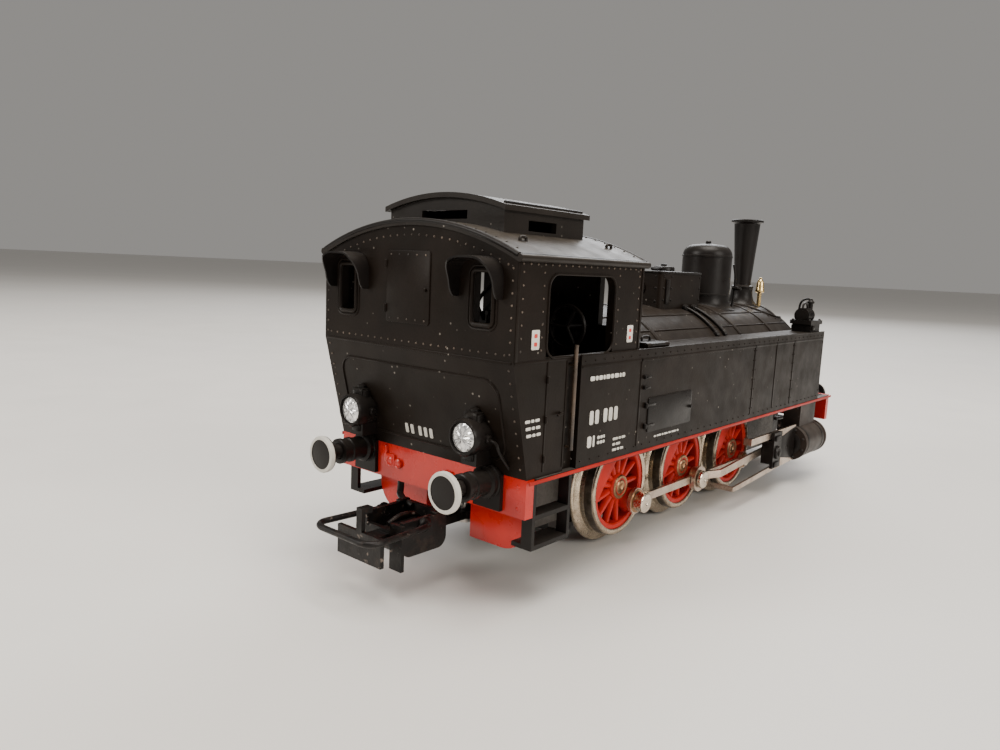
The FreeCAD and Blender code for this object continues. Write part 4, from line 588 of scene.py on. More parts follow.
class Finish(Enum):
    """Every finish on the locomotive."""

    SHELL = Plastic("shell_black", (0.008, 0.0055, 0.004), (0.0125, 0.0085, 0.0062), 0.36,
                    dust_and_sheen_amount=0.07,
                    specks=0.4, gloss=0.1)
    # the roof's upward faces are painted paler: a painted highlight of the overhead light, with
    # some dust
    ROOF = Plastic("roof_black", (0.011, 0.008, 0.006), (0.018, 0.014, 0.011), 0.4,
                   dust_and_sheen=(0.17, 0.145, 0.115), dust_and_sheen_amount=0.3, specks=0.4, gloss=0.2)
    FITTING = Plastic("fitting_black", (0.0065, 0.0055, 0.005), (0.011, 0.0085, 0.0075), 0.32,
                      dust_and_sheen_amount=0.06)
    WORN = Plastic("worn_black", (0.012, 0.009, 0.0075), (0.16, 0.12, 0.09), 0.34, dust_and_sheen_amount=0.1,
                   gloss=0.3)
    DECK = Plastic("deck_black", (0.011, 0.009, 0.0085), (0.019, 0.015, 0.013), 0.46,
                   dust_and_sheen_amount=0.25)
    STEAM_CHEST = Plastic("cylinder_grey", (0.022, 0.018, 0.016), (0.04, 0.027, 0.021), 0.42,
                          dust_and_sheen_amount=0.12,
                          specks=0.2)
    BEAM_RED = Plastic("beam_red", (0.56, 0.018, 0.008), (0.42, 0.012, 0.007), 0.26,
                       dust_and_sheen=(0.5, 0.14, 0.09),
                       dust_and_sheen_amount=0.04, coat=0.15, gloss=0.35)
    WHEEL_RED = Plastic("wheel_red", (0.5, 0.022, 0.014), (0.32, 0.015, 0.011), 0.34,
                        dust_and_sheen_amount=0.0,
                        grain=0.02)
    EDGE_RED = Plastic("edge_red", (0.4, 0.018, 0.011), (0.28, 0.014, 0.01), 0.4, dust_and_sheen_amount=0.0)
    MARK_WHITE = Plastic("mark_white", (0.66, 0.64, 0.59), (0.5, 0.48, 0.43), 0.5, dust_and_sheen_amount=0.1)
    MARK_RED = Plastic("mark_red", (0.6, 0.06, 0.05), (0.45, 0.05, 0.04), 0.5, dust_and_sheen_amount=0.1)
    GEAR_NYLON = Plastic("gear_nylon", (0.75, 0.72, 0.63), (0.62, 0.57, 0.47), 0.35,
                         dust_and_sheen_amount=0.0)
    TYRE_STEEL = Metal("tyre_steel", (0.56, 0.47, 0.36), (0.22, 0.165, 0.115), 0.24,
                       300, 0.8, (1, 6, 1))
    TREAD_DARK = Metal("tread_dark", (0.2, 0.17, 0.14), (0.07, 0.058, 0.045), 0.42, 500, 0.9)
    AXLE_STEEL = Metal("axle_steel", (0.52, 0.5, 0.47), (0.3, 0.27, 0.23), 0.3)
    ROD_NICKEL = Metal("rod_nickel", (0.6, 0.5, 0.42), (0.34, 0.25, 0.19), 0.28,
                       520, 0.7, (1, 1, 9))
    PIN_STEEL = Metal("pin_steel", (0.66, 0.58, 0.48), (0.34, 0.27, 0.21), 0.18, 700, 0.4)
    HUB_BRONZE = Metal("hub_bronze", (0.42, 0.24, 0.13), (0.17, 0.1, 0.06), 0.34, 900, 0.8)
    BRASS = Metal("fitting_brass", (0.76, 0.55, 0.25), (0.42, 0.28, 0.13), 0.24, 900, 0.6)
    RAIL = Plastic("rail_black", (0.012, 0.009, 0.008), (0.2, 0.13, 0.08), 0.3, dust_and_sheen_amount=0.0,
                   gloss=0.5)
    ZINC = Metal("cast_zinc", (0.1, 0.092, 0.085), (0.05, 0.045, 0.04), 0.5, 260, 0.7, pits=0.02)
    CAN_STEEL = Metal("can_steel", (0.55, 0.55, 0.55), (0.35, 0.34, 0.32), 0.3)
    COUPLER = Blackened("coupler_black")
    LAMP = Reflector("lamp_silver")
    TABLE = Floor("table_pale")


class Palette:
    """Makes each finish once."""

    def __init__(self) -> None:
        """Start with nothing mixed."""
        self.made: dict[Finish, bpy.types.Material] = {}

    def __getitem__(self, finish: Finish) -> bpy.types.Material:
        """The material of a finish."""
        if finish not in self.made:
            self.made[finish] = finish.value.make()
        return self.made[finish]


SLOTS = {
    Finish.SHELL: "body_black", Finish.ROOF: "roof_grey", Finish.FITTING: "fitting_black",
    Finish.DECK: "deck_black", Finish.WORN: "body_black", Finish.STEAM_CHEST: "cylinder_grey",
    Finish.BEAM_RED: "beam_red",
    Finish.WHEEL_RED: "wheel_red", Finish.EDGE_RED: "beam_red", Finish.MARK_WHITE: "lamp_silver",
    Finish.MARK_RED: "beam_red", Finish.TYRE_STEEL: "tyre_steel", Finish.TREAD_DARK: "tyre_steel",
    Finish.PIN_STEEL: "bright_steel", Finish.HUB_BRONZE: "axle_steel",
    Finish.BRASS: "whistle_brass",
    Finish.RAIL: "rail_brass", Finish.LAMP: "lamp_silver",
    Finish.COUPLER: "coupler_brown", Finish.AXLE_STEEL: "axle_steel",
    Finish.ROD_NICKEL: "rod_nickel",
}

NODE_FINISHES = {
    Finish.SHELL: ("body_shell", "smokebox_door", "steam_dome", "chimney", "sandbox", "sand_pipes",
                   "cab_shell"),
    Finish.ROOF: ("cab_roof", "roof_ventilator"),
    Finish.FITTING: ("feed_pump", "lamp_housings", "cab_steps", "keeper_plate", "motor_cap",
                     "buffer_sleeves",
                     "buffer_heads", "crosshead_left", "crosshead_right"),
    Finish.DECK: ("footplate",),
    Finish.STEAM_CHEST: ("steam_cylinders",),
    Finish.BEAM_RED: ("buffer_beam_front", "buffer_beam_rear", "rear_apron"),
    Finish.WHEEL_RED: ("wheel_centres_rear", "wheel_centres_middle", "wheel_centres_front"),
    Finish.TYRE_STEEL: ("tyres_rear", "tyres_middle", "tyres_front"),
    Finish.AXLE_STEEL: ("axle_rear", "axle_middle", "axle_front", "keeper_screws", "gear_pins",
                        "coupler_pins"),
    Finish.PIN_STEEL: ("crank_pins_rear", "crank_pins_middle", "crank_pins_front"),
    Finish.ROD_NICKEL: ("coupling_rod_left", "coupling_rod_right", "connecting_rod_left",
                        "connecting_rod_right", "slide_bars"),
    Finish.GEAR_NYLON: ("axle_gear", "idler_gear", "worm_wheel"),
    Finish.BRASS: ("worm", "whistle", "pickup_strips"),
    Finish.CAN_STEEL: ("motor_can", "armature"),
    Finish.ZINC: ("chassis_frame", "ballast_weight"),
    Finish.COUPLER: ("coupler_head_front", "coupler_head_rear", "coupler_loop_front",
                     "coupler_loop_rear"),
    Finish.LAMP: ("lamp_lenses",),
    Finish.RAIL: ("handrails",),
}


@dataclass
class SubAssembly:
    """What every sub-assembly has: the finishes and a short way to finish a piece."""

    palette: Palette

    def add(self, shape: Shape, name: str, finish: Finish, body: str = ROOT,
            stands_for: Sequence[str] = ()) -> bpy.types.Object:
        """Turn a shape into a finished piece."""
        return shape.object(name, self.palette[finish], body, SLOTS[finish], stands_for)


def dress_nodes(palette: Palette, nodes: dict[str, bpy.types.Object]) -> None:
    """Give every carried-over node its finish."""
    for finish, names in NODE_FINISHES.items():
        for name in names:
            mesh = nodes[name].data
            mesh.materials.clear()
            mesh.materials.append(palette[finish])
            log.info("%s: %s", name, finish.value.name)


# ---------------------------------------------------------------- running gear

@dataclass
class Wheelset(SubAssembly):
    """An axle's two spoked wheels, tyres and crank pins, turned to their crank angles."""

    name: str
    axle_x: float
    head_in: float
    head_out: float
    head_radius: float
    axle_z: float = 7.84
    cranks: dict[Side, float] = field(
        default_factory=lambda: {Side.LEFT: -129.75, Side.RIGHT: -39.75})
    throw: float = 3.44
    spokes: int = 13
    back: float = 7.3
    tread: float = 6.6
    flange: float = 7.82
    rim_in: float = 5.05
    rim_out: float = 5.74

    def set_up(self, rings: Array, side: Side) -> Array:
        """Turn rings drawn with the crank along +X and the outer face at +Y to their place."""
        angle = math.radians(self.cranks[side])
        x, y, z = rings[..., 0], rings[..., 1], rings[..., 2]
        return np.stack([self.axle_x + x * math.cos(angle) - z * math.sin(angle), side.value * y,
                         self.axle_z + x * math.sin(angle) + z * math.cos(angle)], axis=-1)

    def turn(self, shape: Shape, side: Side, profile: Sequence[tuple[float, float]], sides: int,
             reach: float = 0.0, closed: bool = False) -> None:
        """Add a turned piece to one side's wheel, its axis so far out along the crank."""
        rings = turned_rings(profile, Axis.Y, (reach, 0, 0), sides)
        shape.skin(self.set_up(rings, side), closed=closed)

    def spoke(self, turn: float) -> Array:
        """Rings of a spoke: ovals square to a radius, their width and depth shrinking outwards."""
        reach = np.linspace(1.3, 5.3, 7)
        share = (reach - 1.3) / 4.0
        half_width, half_depth = 0.46 - 0.16 * share, 0.66 - 0.2 * share
        oval = circle(10)
        oval = np.sign(oval) * np.abs(oval) ** 0.8
        sideways = half_width[:, None] * oval[None, :, 0]
        depth = 9.3 + half_depth[:, None] * oval[None, :, 1]
        along = np.broadcast_to(reach[:, None], sideways.shape)
        return np.stack([along * math.cos(turn) - sideways * math.sin(turn), depth,
                         along * math.sin(turn) + sideways * math.cos(turn)], axis=-1)

    def centre(self) -> Shape:
        """Both spoked centres: rim, spokes, hub, crank boss and balance weight."""
        shape = Shape()
        rim = [(self.rim_out, 8.3), (self.rim_out, 10.15), (self.rim_in + 0.15, 10.15),
               (self.rim_in, 10.0), (self.rim_in - 0.05, 9.3), (self.rim_in, 8.3)]
        hub = [(1.0, 7.32), (1.85, 7.32), (1.85, 9.9), (1.72, 10.2), (1.35, 10.42), (1.02, 10.44),
               (1.02, 7.4)]
        t = np.radians(np.linspace(126, 234, 22))
        weight = np.stack([5.2 * np.cos(t), 5.2 * np.sin(t)], axis=1)
        boss = [(1.45, 8.5), (1.45, 10.55), (1.3, 10.75), (0.68, 10.78)]
        for side in Side:
            self.turn(shape, side, rim, BARREL_SIDES, closed=True)
            self.turn(shape, side, hub, FITTING_SIDES, closed=True)
            self.turn(shape, side, boss, SMALL_SIDES, self.throw)
            shape.skin(self.set_up(plate_rings(weight, Axis.Y, 8.7, 10.12, 0.14), side))
            for i in range(self.spokes):
                turn = 2 * math.pi * (i + 0.5) / self.spokes
                shape.skin(self.set_up(self.spoke(turn), side))
        return shape

    def tyre(self) -> Shape:
        """Both tyres: a coned tread with a rounded flange, turned as one closed section."""
        shape = Shape()
        t = np.linspace(-0.5, 0.5, 7) * math.pi
        tip = [(self.flange - 0.35 + 0.33 * math.cos(a),
                self.back + 0.36 + 0.34 * math.sin(a)) for a in t]
        section = [(self.rim_out + 0.01, self.back + 0.05), (self.tread + 0.2, self.back)] + tip + [
            (self.tread + 0.3, self.back + 0.84), (self.tread + 0.05, self.back + 1.05),
            (self.tread - 0.1, 10.2), (self.tread - 0.2, 10.36), (self.tread - 0.34, 10.4),
            (self.rim_out + 0.2, 10.4), (self.rim_out + 0.04, 10.3)]
        for side in Side:
            self.turn(shape, side, section, WHEEL_SIDES, closed=True)
        return shape

    def pins(self) -> Shape:
        """Both crank pins, each with a flat polished head and a small centre mark."""
        shape = Shape()
        r, a, b = self.head_radius, self.head_in, self.head_out
        profile = [(0.6, 9.0), (0.6, a), (r - 0.08, a), (r, a + 0.08), (r, b - 0.14),
                   (r - 0.12, b - 0.02), (r - 0.2, b), (0.34, b), (0.3, b - 0.06), (0.02, b - 0.16)]
        for side in Side:
            self.turn(shape, side, profile, FITTING_SIDES, self.throw)
        return shape

    def hub_caps(self) -> Shape:
        """The bronze-brown axle ends and the rings round them."""
        shape = Shape()
        profile = [(1.01, 9.7), (1.01, 10.36), (0.86, 10.5), (0.5, 10.5), (0.42, 10.4),
                   (0.02, 10.3)]
        ring = [(1.15, 10.3), (1.62, 10.24), (1.62, 10.34), (1.5, 10.48), (1.3, 10.5),
                (1.15, 10.44)]
        for side in Side:
            self.turn(shape, side, profile, SMALL_SIDES)
            self.turn(shape, side, ring, FITTING_SIDES, closed=True)
        return shape

    def tread_wear(self) -> Shape:
        """The dark band that the rail leaves on the tread, a hoop just over it."""
        shape = Shape()
        band = [(self.tread - 0.02, 8.3), (self.tread + 0.016, 8.36), (self.tread - 0.035, 10.1),
                (self.tread - 0.1, 10.16), (self.tread - 0.4, 9.2)]
        for side in Side:
            self.turn(shape, side, band, WHEEL_SIDES, closed=True)
        return shape

    def build(self) -> None:
        """Make the wheelset's pieces."""
        body = f"wheelset_{self.name}"
        self.add(self.centre(), f"spoked_wheels_{self.name}", Finish.WHEEL_RED, body,
                 [f"wheel_centres_{self.name}"])
        self.add(self.tyre(), f"steel_tyres_{self.name}", Finish.TYRE_STEEL, body,
                 [f"tyres_{self.name}"])
        self.add(self.pins(), f"pin_heads_{self.name}", Finish.PIN_STEEL, body,
                 [f"crank_pins_{self.name}"])
        self.add(self.hub_caps(), f"hub_caps_{self.name}", Finish.HUB_BRONZE, body)
        self.add(self.tread_wear(), f"tread_bands_{self.name}", Finish.TREAD_DARK, body)


@dataclass
class Motion(SubAssembly):
    """Small pieces of the rods, crossheads and cylinders."""

    pins: dict[Side, tuple[float, float]] = field(
        default_factory=lambda: {Side.LEFT: (-5.45, 5.195), Side.RIGHT: (-0.605, 5.64)})
    small_ends: dict[Side, float] = field(
        default_factory=lambda: {Side.LEFT: 15.885, Side.RIGHT: 20.765})
    wheel_base: float = 17.4
    piston_z: float = 7.1
    cylinder_y: float = 14.0
    stud_circle: float = 2.62

    def rod_rings(self, side: Side) -> Shape:
        """Dark bush rings round the coupling rod's eyes, thin washers on its outer face."""
        shape = Shape()
        x, z = self.pins[side]
        for step, radius in ((-1, 1.62), (1, 1.28)):
            ring = [(0.72, 11.5), (radius, 11.5), (radius, 11.53), (radius - 0.12, 11.58),
                    (0.72, 11.58)]
            rings = turned_rings(ring, Axis.Y, (x + step * self.wheel_base, 0, z), 36)
            rings[..., 1] *= side.value
            shape.skin(rings, closed=True)
        return shape

    def crosshead(self, side: Side) -> Shape:
        """Slippers above and below the crosshead, its pin's rings and the gland nut."""
        shape = Shape()
        x, s = self.small_ends[side], side.value
        for z in (4.62, 9.12):
            shape.block((x - 1.25, s * 15.56, z), (x + 0.8, s * 15.78, z + 0.9), 0.08)
        pin = [(1.15, 15.5), (1.15, 15.75), (1.0, 15.9), (0.72, 15.92), (0.62, 15.8), (0.55, 16.05),
               (0.3, 16.15), (0.02, 16.16)]
        rings = turned_rings(pin, Axis.Y, (x, 0, self.piston_z), 36)
        rings[..., 1] *= s
        shape.skin(rings)
        nut = [(0.45, 1.72), (0.58, 1.72), (0.58, 2.5), (0.53, 2.62), (0.45, 2.62)]
        shape.hoop(nut, Axis.X, (x, s * self.cylinder_y, self.piston_z), 6)
        return shape

    def cylinder(self, side: Side) -> Shape:
        """Cover rings, drain cocks and cladding bands of a steam cylinder."""
        shape = Shape()
        s = side.value
        for x, way in ((30.38, -1), (41.02, 1)):
            disc = [(2.1, 0.0), (2.1, 0.16 * way), (1.9, 0.28 * way), (1.35, 0.3 * way),
                    (1.2, 0.12 * way), (1.2, 0.0)]
            shape.hoop(disc, Axis.X, (x, s * self.cylinder_y, self.piston_z), FITTING_SIDES)
            angles = np.radians(np.arange(8) * 45 + 22.5)
            centres = places(x, s * self.cylinder_y + self.stud_circle * np.cos(angles),
                             self.piston_z + self.stud_circle * np.sin(angles))
            shape.rivets(centres, Axis.X, way, 0.26, 0.3)
        for x in (32.2, 39.2):
            band = [(3.02, -0.35), (3.1, -0.3), (3.1, 0.3), (3.02, 0.35)]
            shape.hoop(band, Axis.X, (x, s * self.cylinder_y, self.piston_z), 48)
            shape.straight((x, s * 13.6, 4.3), (x, s * 13.6, 3.3), 0.28)
            shape.straight((x - 0.5, s * 13.6, 3.7), (x + 0.5, s * 13.6, 3.7), 0.16)
        plate = np.array([(23.9, 5.6), (30.3, 4.5), (30.3, 10.3), (23.9, 9.3)])
        shape.sheet(plate, side, 14.93, 15.01, 0.02)
        return shape

    def build(self) -> None:
        """Make the motion's pieces."""
        for side in Side:
            tag = side.name.lower()
            self.add(self.rod_rings(side), f"rod_bushes_{tag}", Finish.HUB_BRONZE,
                     f"side_rod_{tag}")
            self.add(self.crosshead(side), f"crosshead_slippers_{tag}", Finish.FITTING,
                     f"piston_{tag}")
            self.add(self.cylinder(side), f"cylinder_covers_{tag}", Finish.FITTING)


# ---------------------------------------------------------------- footplate and ends

@dataclass
class Footplate(SubAssembly):
    """The red edge of the footplate and the small gear on the beams."""

    edge_y: float = 15.3
    top: float = 14.5

    def edge(self) -> Shape:
        """A red angle strip along each side."""
        shape = Shape()
        for side in Side:
            s = side.value
            shape.block((-46.8, s * (self.edge_y - 0.02), self.top - 0.5),
                        (46.8, s * (self.edge_y + 0.12), self.top - 0.1), 0.04, Axis.X)
        return shape

    def plates(self) -> Shape:
        """Chequer strips on the open ends of the footplate, rows of low ribs."""
        shape = Shape()
        for x in np.arange(40.4, 45.2, 0.6):
            for y in np.arange(-14.2, 14.3, 1.6):
                shape.block((x, y, self.top - 0.02), (x + 0.18, y + 1.0, self.top + 0.07), 0.03)
        return shape

    def beam_gear(self, end: End) -> Shape:
        """Low reliefs, sockets and bolt heads on a buffer beam."""
        shape = Shape()
        e = end.value
        face = e * 46.86
        low, high = sorted((face - 0.05 * e, face + 0.3 * e))
        for y, z, wide, tall in ((6.6, 13.3, 0.5, 1.9), (5.7, 12.6, 1.5, 1.5),
                                 (-3.9, 13.0, 1.4, 0.5)):
            shape.plate(rounded(wide, tall, 0.24, (y, z), 3), Axis.X, low, high, 0.08)
        for y in (5.7, 4.4, -4.6):
            boss = [(0.62, 0.0), (0.6, 0.3), (0.42, 0.4), (0.3, 0.32), (0.02, 0.32)]
            z = 12.4 if y > 0 else 12.3
            shape.turned([(r, e * d) for r, d in boss], Axis.X, (face, y, z), 20)
        for y in (-13.9, 13.9):
            shape.rivets(np.array([[face, y, z] for z in (11.3, 13.6)]), Axis.X, e, 0.2, 0.12)
        return shape

    def bracket(self) -> Shape:
        """Bent wire under the rear beam that keeps the coupler centred."""
        return Shape().wire([(-46.2, 4.6, 10.6), (-46.3, 4.6, 9.2), (-46.5, 4.4, 8.6),
                             (-46.9, 3.2, 8.2), (-47.0, 1.6, 7.9)], 0.42)

    def build(self) -> None:
        """Make the footplate's pieces."""
        self.add(self.edge(), "footplate_edges", Finish.EDGE_RED)
        self.add(self.plates(), "footplate_chequer", Finish.DECK)
        for end in End:
            tag = end.name.lower()
            self.add(self.beam_gear(end), f"beam_gear_{tag}", Finish.BEAM_RED)
        self.add(self.bracket(), "centring_wire", Finish.FITTING)


@dataclass
class Buffers(SubAssembly):
    """Four buffers: a turned head with a white rim on a stepped sleeve."""

    y: float = 10.05
    z: float = 13.5

    def head(self) -> Shape:
        """Heads: a slightly domed disc on its plunger."""
        shape = Shape()
        profile = [(0.9, 47.3), (0.9, 52.9), (1.15, 53.15), (2.02, 53.25), (2.1, 53.34),
                   (2.1, 53.86), (2.04, 53.93), (1.74, 53.97), (1.7, 53.94), (1.2, 53.99),
                   (0.6, 54.03), (0.02, 54.04)]
        self.four(shape, profile)
        return shape

    def rim(self) -> Shape:
        """White rings round the faces."""
        shape = Shape()
        ring = [(1.74, 53.95), (2.06, 53.9), (2.13, 53.8), (2.14, 53.5), (2.16, 53.5),
                (2.17, 53.84), (2.08, 53.99), (1.76, 54.02)]
        self.four(shape, ring, True)
        return shape

    def sleeve(self) -> Shape:
        """Stepped sleeves with two collars and a base flange."""
        shape = Shape()
        profile = [(0.97, 47.2), (1.9, 46.9), (1.9, 47.3), (1.72, 47.5), (1.72, 47.95),
                   (1.4, 48.15), (1.36, 49.6), (1.5, 49.7), (1.5, 50.1), (1.36, 50.2), (1.36, 50.9),
                   (1.52, 51.0), (1.52, 51.42), (1.4, 51.5), (0.97, 51.5)]
        self.four(shape, profile, True)
        return shape

    def four(self, shape: Shape, profile: Sequence[tuple[float, float]],
             closed: bool = False) -> None:
        """Add a turned piece at each of the four places."""
        for end in End:
            for side in Side:
                mirrored = [(r, end.value * d) for r, d in profile]
                shape.skin(turned_rings(mirrored, Axis.X, (0, side.value * self.y, self.z), 48),
                           closed)

    def build(self) -> None:
        """Make the buffers' pieces."""
        self.add(self.head(), "buffer_discs", Finish.FITTING, stands_for=["buffer_heads"])
        self.add(self.rim(), "buffer_rims", Finish.MARK_WHITE)
        self.add(self.sleeve(), "buffer_collars", Finish.FITTING)


@dataclass
class Coupler(SubAssembly):
    """Detail that turns a coupler head into the casting it is."""

    end: End

    def head_detail(self) -> Shape:
        """Spring leaf under the yoke, rivets, pivot collars and a rib down the hook."""
        shape = Shape()
        e = self.end.value
        for side in Side:
            s = side.value
            collar = [(0.9, 0.0), (0.9, 0.3), (0.72, 0.44), (0.4, 0.46), (0.02, 0.46)]
            rings = turned_rings(collar, Axis.Y, (e * 49.9, 3.28, 7.6), 24)
            rings[..., 1] *= s
            shape.skin(rings)
            shape.block((e * 46.6, s * 2.5, 8.28), (e * 48.2, s * 3.25, 8.6), 0.08)
            shape.rivets(np.array([[e * 52.96, s * 2.6, 5.3], [e * 52.96, s * 2.6, 6.9]]), Axis.X,
                         e, 0.24, 0.16)
        shape.block((e * 46.4, -1.0, 6.6), (e * 52.6, 1.0, 6.86), 0.1)
        shape.wire([(e * 47.2, 0, 6.9), (e * 48.4, 0, 7.7), (e * 50.4, 0, 7.9), (e * 52.2, 0, 7.3)],
                   0.28)
        return shape

    def build(self) -> None:
        """Make the coupler's pieces."""
        tag = self.end.name.lower()
        self.add(self.head_detail(), f"coupler_detail_{tag}", Finish.COUPLER, f"coupler_{tag}")


# ---------------------------------------------------------------- tanks and boiler

def dashes(shape: Shape, side: Side, y: float, x0: float, z: float, height: float,
           widths: Sequence[float], gap: float) -> None:
    """A row of small plain bars in place of a line of lettering, read from the outside.

    Args:
        shape: what they are added to.
        side: the side of the locomotive they stand on.
        y: distance of the sheet from the middle.
        x0: where the row starts, at its rear end on the right side.
        z: the row's middle height.
        height: of the bars.
        widths: of the bars, one after another.
        gap: between bars.
    """
    x = x0
    for width in widths:
        drawing = rounded(width, height, min(width, height) * 0.3, (x + width / 2, z), 2)
        shape.sheet(drawing, side, y - 0.01, y + 0.045, 0.012)
        x += width + gap


@dataclass
class Tanks(SubAssembly):
    """What stands on the side tanks: rivets, seams, flap, marks, and the fillers' gear."""

    y: float = 15.3
    top: float = 26.95
    front: float = 39.45
    back: float = -38.65

    def seams(self) -> Shape:
        """Raised joint strips of the tank sides and the bead along their top edges."""
        shape = Shape()
        for side in Side:
            s = side.value
            low, high = sorted((s * (self.y - 0.05), s * (self.y + 0.07)))
            for x in (-25.9, 8.25, 16.95, 24.75):
                shape.plate(rounded(0.34, 10.9, 0.1, (x, 20.55), 2), Axis.Y, low, high, 0.03)
            shape.plate(rounded(self.front - self.back - 0.4, 0.36, 0.1,
                                ((self.front + self.back) / 2, 25.75), 2),
                        Axis.Y, low, high, 0.03)
            shape.block((self.back + 0.05, s * (self.y - 0.22), self.top - 0.05),
                        (self.front, s * (self.y + 0.06), self.top + 0.12), 0.06, Axis.X)
        return shape

    def flap(self) -> Shape:
        """Inspection flap on each tank side: a raised plate, two strap hinges, two latches."""
        shape = Shape()
        for side in Side:
            s = side.value
            low, high = sorted((s * (self.y - 0.05), s * (self.y + 0.14)))
            shape.plate(rounded(11.5, 4.4, 0.35, (-18.0, 18.7), 3), Axis.Y, low, high, 0.06)
            for z in (17.4, 20.0):
                shape.straight((-24.4, s * (self.y + 0.2), z - 0.35),
                               (-24.4, s * (self.y + 0.2), z + 0.35), 0.2)
                shape.plate(rounded(2.4, 0.34, 0.15, (-23.3, z), 2), Axis.Y,
                            *sorted((s * (self.y + 0.1), s * (self.y + 0.24))), 0.04)
            for z in (22.3, 23.6):
                shape.straight((-25.0, s * self.y, z), (-25.0, s * (self.y + 0.36), z), 0.26)
                shape.block((-25.1, s * (self.y + 0.2), z - 0.14),
                            (-23.9, s * (self.y + 0.36), z + 0.14), 0.05)
            shape.straight((-12.6, s * self.y, 18.7), (-12.6, s * (self.y + 0.4), 18.7), 0.22)
        return shape

    def rivets(self) -> Shape:
        """Rivet rows along the tank edges and down the joint strips."""
        shape = Shape()
        for side in Side:
            s = side.value
            x = np.arange(self.back + 0.8, self.front - 0.3, 1.9)
            for z in (26.35, 15.15):
                row = places(x, s * self.y, z)
                shape.rivets(row, Axis.Y, s, *RIVET)
            z = np.arange(16.1, 25.4, 1.5)
            for x0 in (39.0, 7.85, 8.65, 24.35, 25.15):
                column = places(x0, s * self.y, z)
                shape.rivets(column, Axis.Y, s, *RIVET)
            x = np.arange(-25.6, self.front - 0.5, 2.4)
            row = places(x, s * 14.75, self.top)
            shape.rivets(row, Axis.Z, 1, 0.14, 0.1)
            y = np.arange(5.0, 15.0, 2.2) * s
            for z0 in (16.0, 26.2):
                row = places(self.front, y, z0)
                shape.rivets(row, Axis.X, 1, 0.14, 0.1)
        return shape

    def fillers(self) -> Shape:
        """Filler lids with a strap, a handle and a hinge at the cab end."""
        shape = Shape()
        for side in Side:
            s = side.value
            z = self.top + 0.5
            shape.block((-23.9, s * 11.5, z - 0.1), (-18.9, s * 14.5, z + 0.22), 0.12)
            shape.wire([(-22.4, s * 13.0, z + 0.15), (-22.2, s * 13.0, z + 0.7),
                        (-20.6, s * 13.0, z + 0.7), (-20.4, s * 13.0, z + 0.15)], 0.16)
            shape.straight((-23.2, s * 14.75, z - 0.1), (-19.6, s * 14.75, z - 0.1), 0.26)
        return shape

    def marks(self) -> Shape:
        """Rows of plain white bars where a vehicle carries its lettering."""
        shape = Shape()
        for side in Side:
            dashes(shape, side, self.y, -36.8, 24.3, 0.5,
                   (0.9, 0.5, 0.7, 0.4, 0.8, 0.6, 0.9, 0.4, 0.6), 0.17)
            dashes(shape, side, self.y, -36.5, 19.85, 1.6, (0.75, 0.75), 0.35)
            dashes(shape, side, self.y, -33.7, 19.85, 1.6, (0.75, 0.75, 0.75), 0.35)
            dashes(shape, side, self.y, -36.7, 17.1, 1.3, (0.8, 0.35), 0.3)
            for z, widths in ((17.4, (0.5, 0.5, 0.3)), (16.8, (0.5, 0.5, 0.3))):
                dashes(shape, side, self.y, -34.7, z, 0.35, widths, 0.12)
            for z, widths in ((16.75, (1.1, 0.5, 0.8)), (16.1, (0.6, 0.9)),
                              (15.45, (0.9, 0.5, 0.7))):
                dashes(shape, side, self.y, -31.4, z, 0.3, widths, 0.16)
            dashes(shape, side, self.y, -21.7, 15.75, 0.24, (0.5, 1.1, 0.4, 0.9, 0.6, 1.2, 0.5),
                   0.22)
            for z in (20.7, 19.95, 19.2):
                dashes(shape, side, 15.0, -47.6 + 0.2 * (20.7 - z), z, 0.32, (0.8, 0.5, 0.7), 0.18)
        return shape

    def build(self) -> None:
        """Make the tanks' pieces."""
        self.add(self.seams(), "tank_seams", Finish.SHELL)
        self.add(self.flap(), "tank_flaps", Finish.FITTING)
        self.add(self.rivets(), "tank_rivets", Finish.SHELL)
        self.add(self.fillers(), "tank_fillers", Finish.FITTING)
        self.add(self.marks(), "tank_marks", Finish.MARK_WHITE)


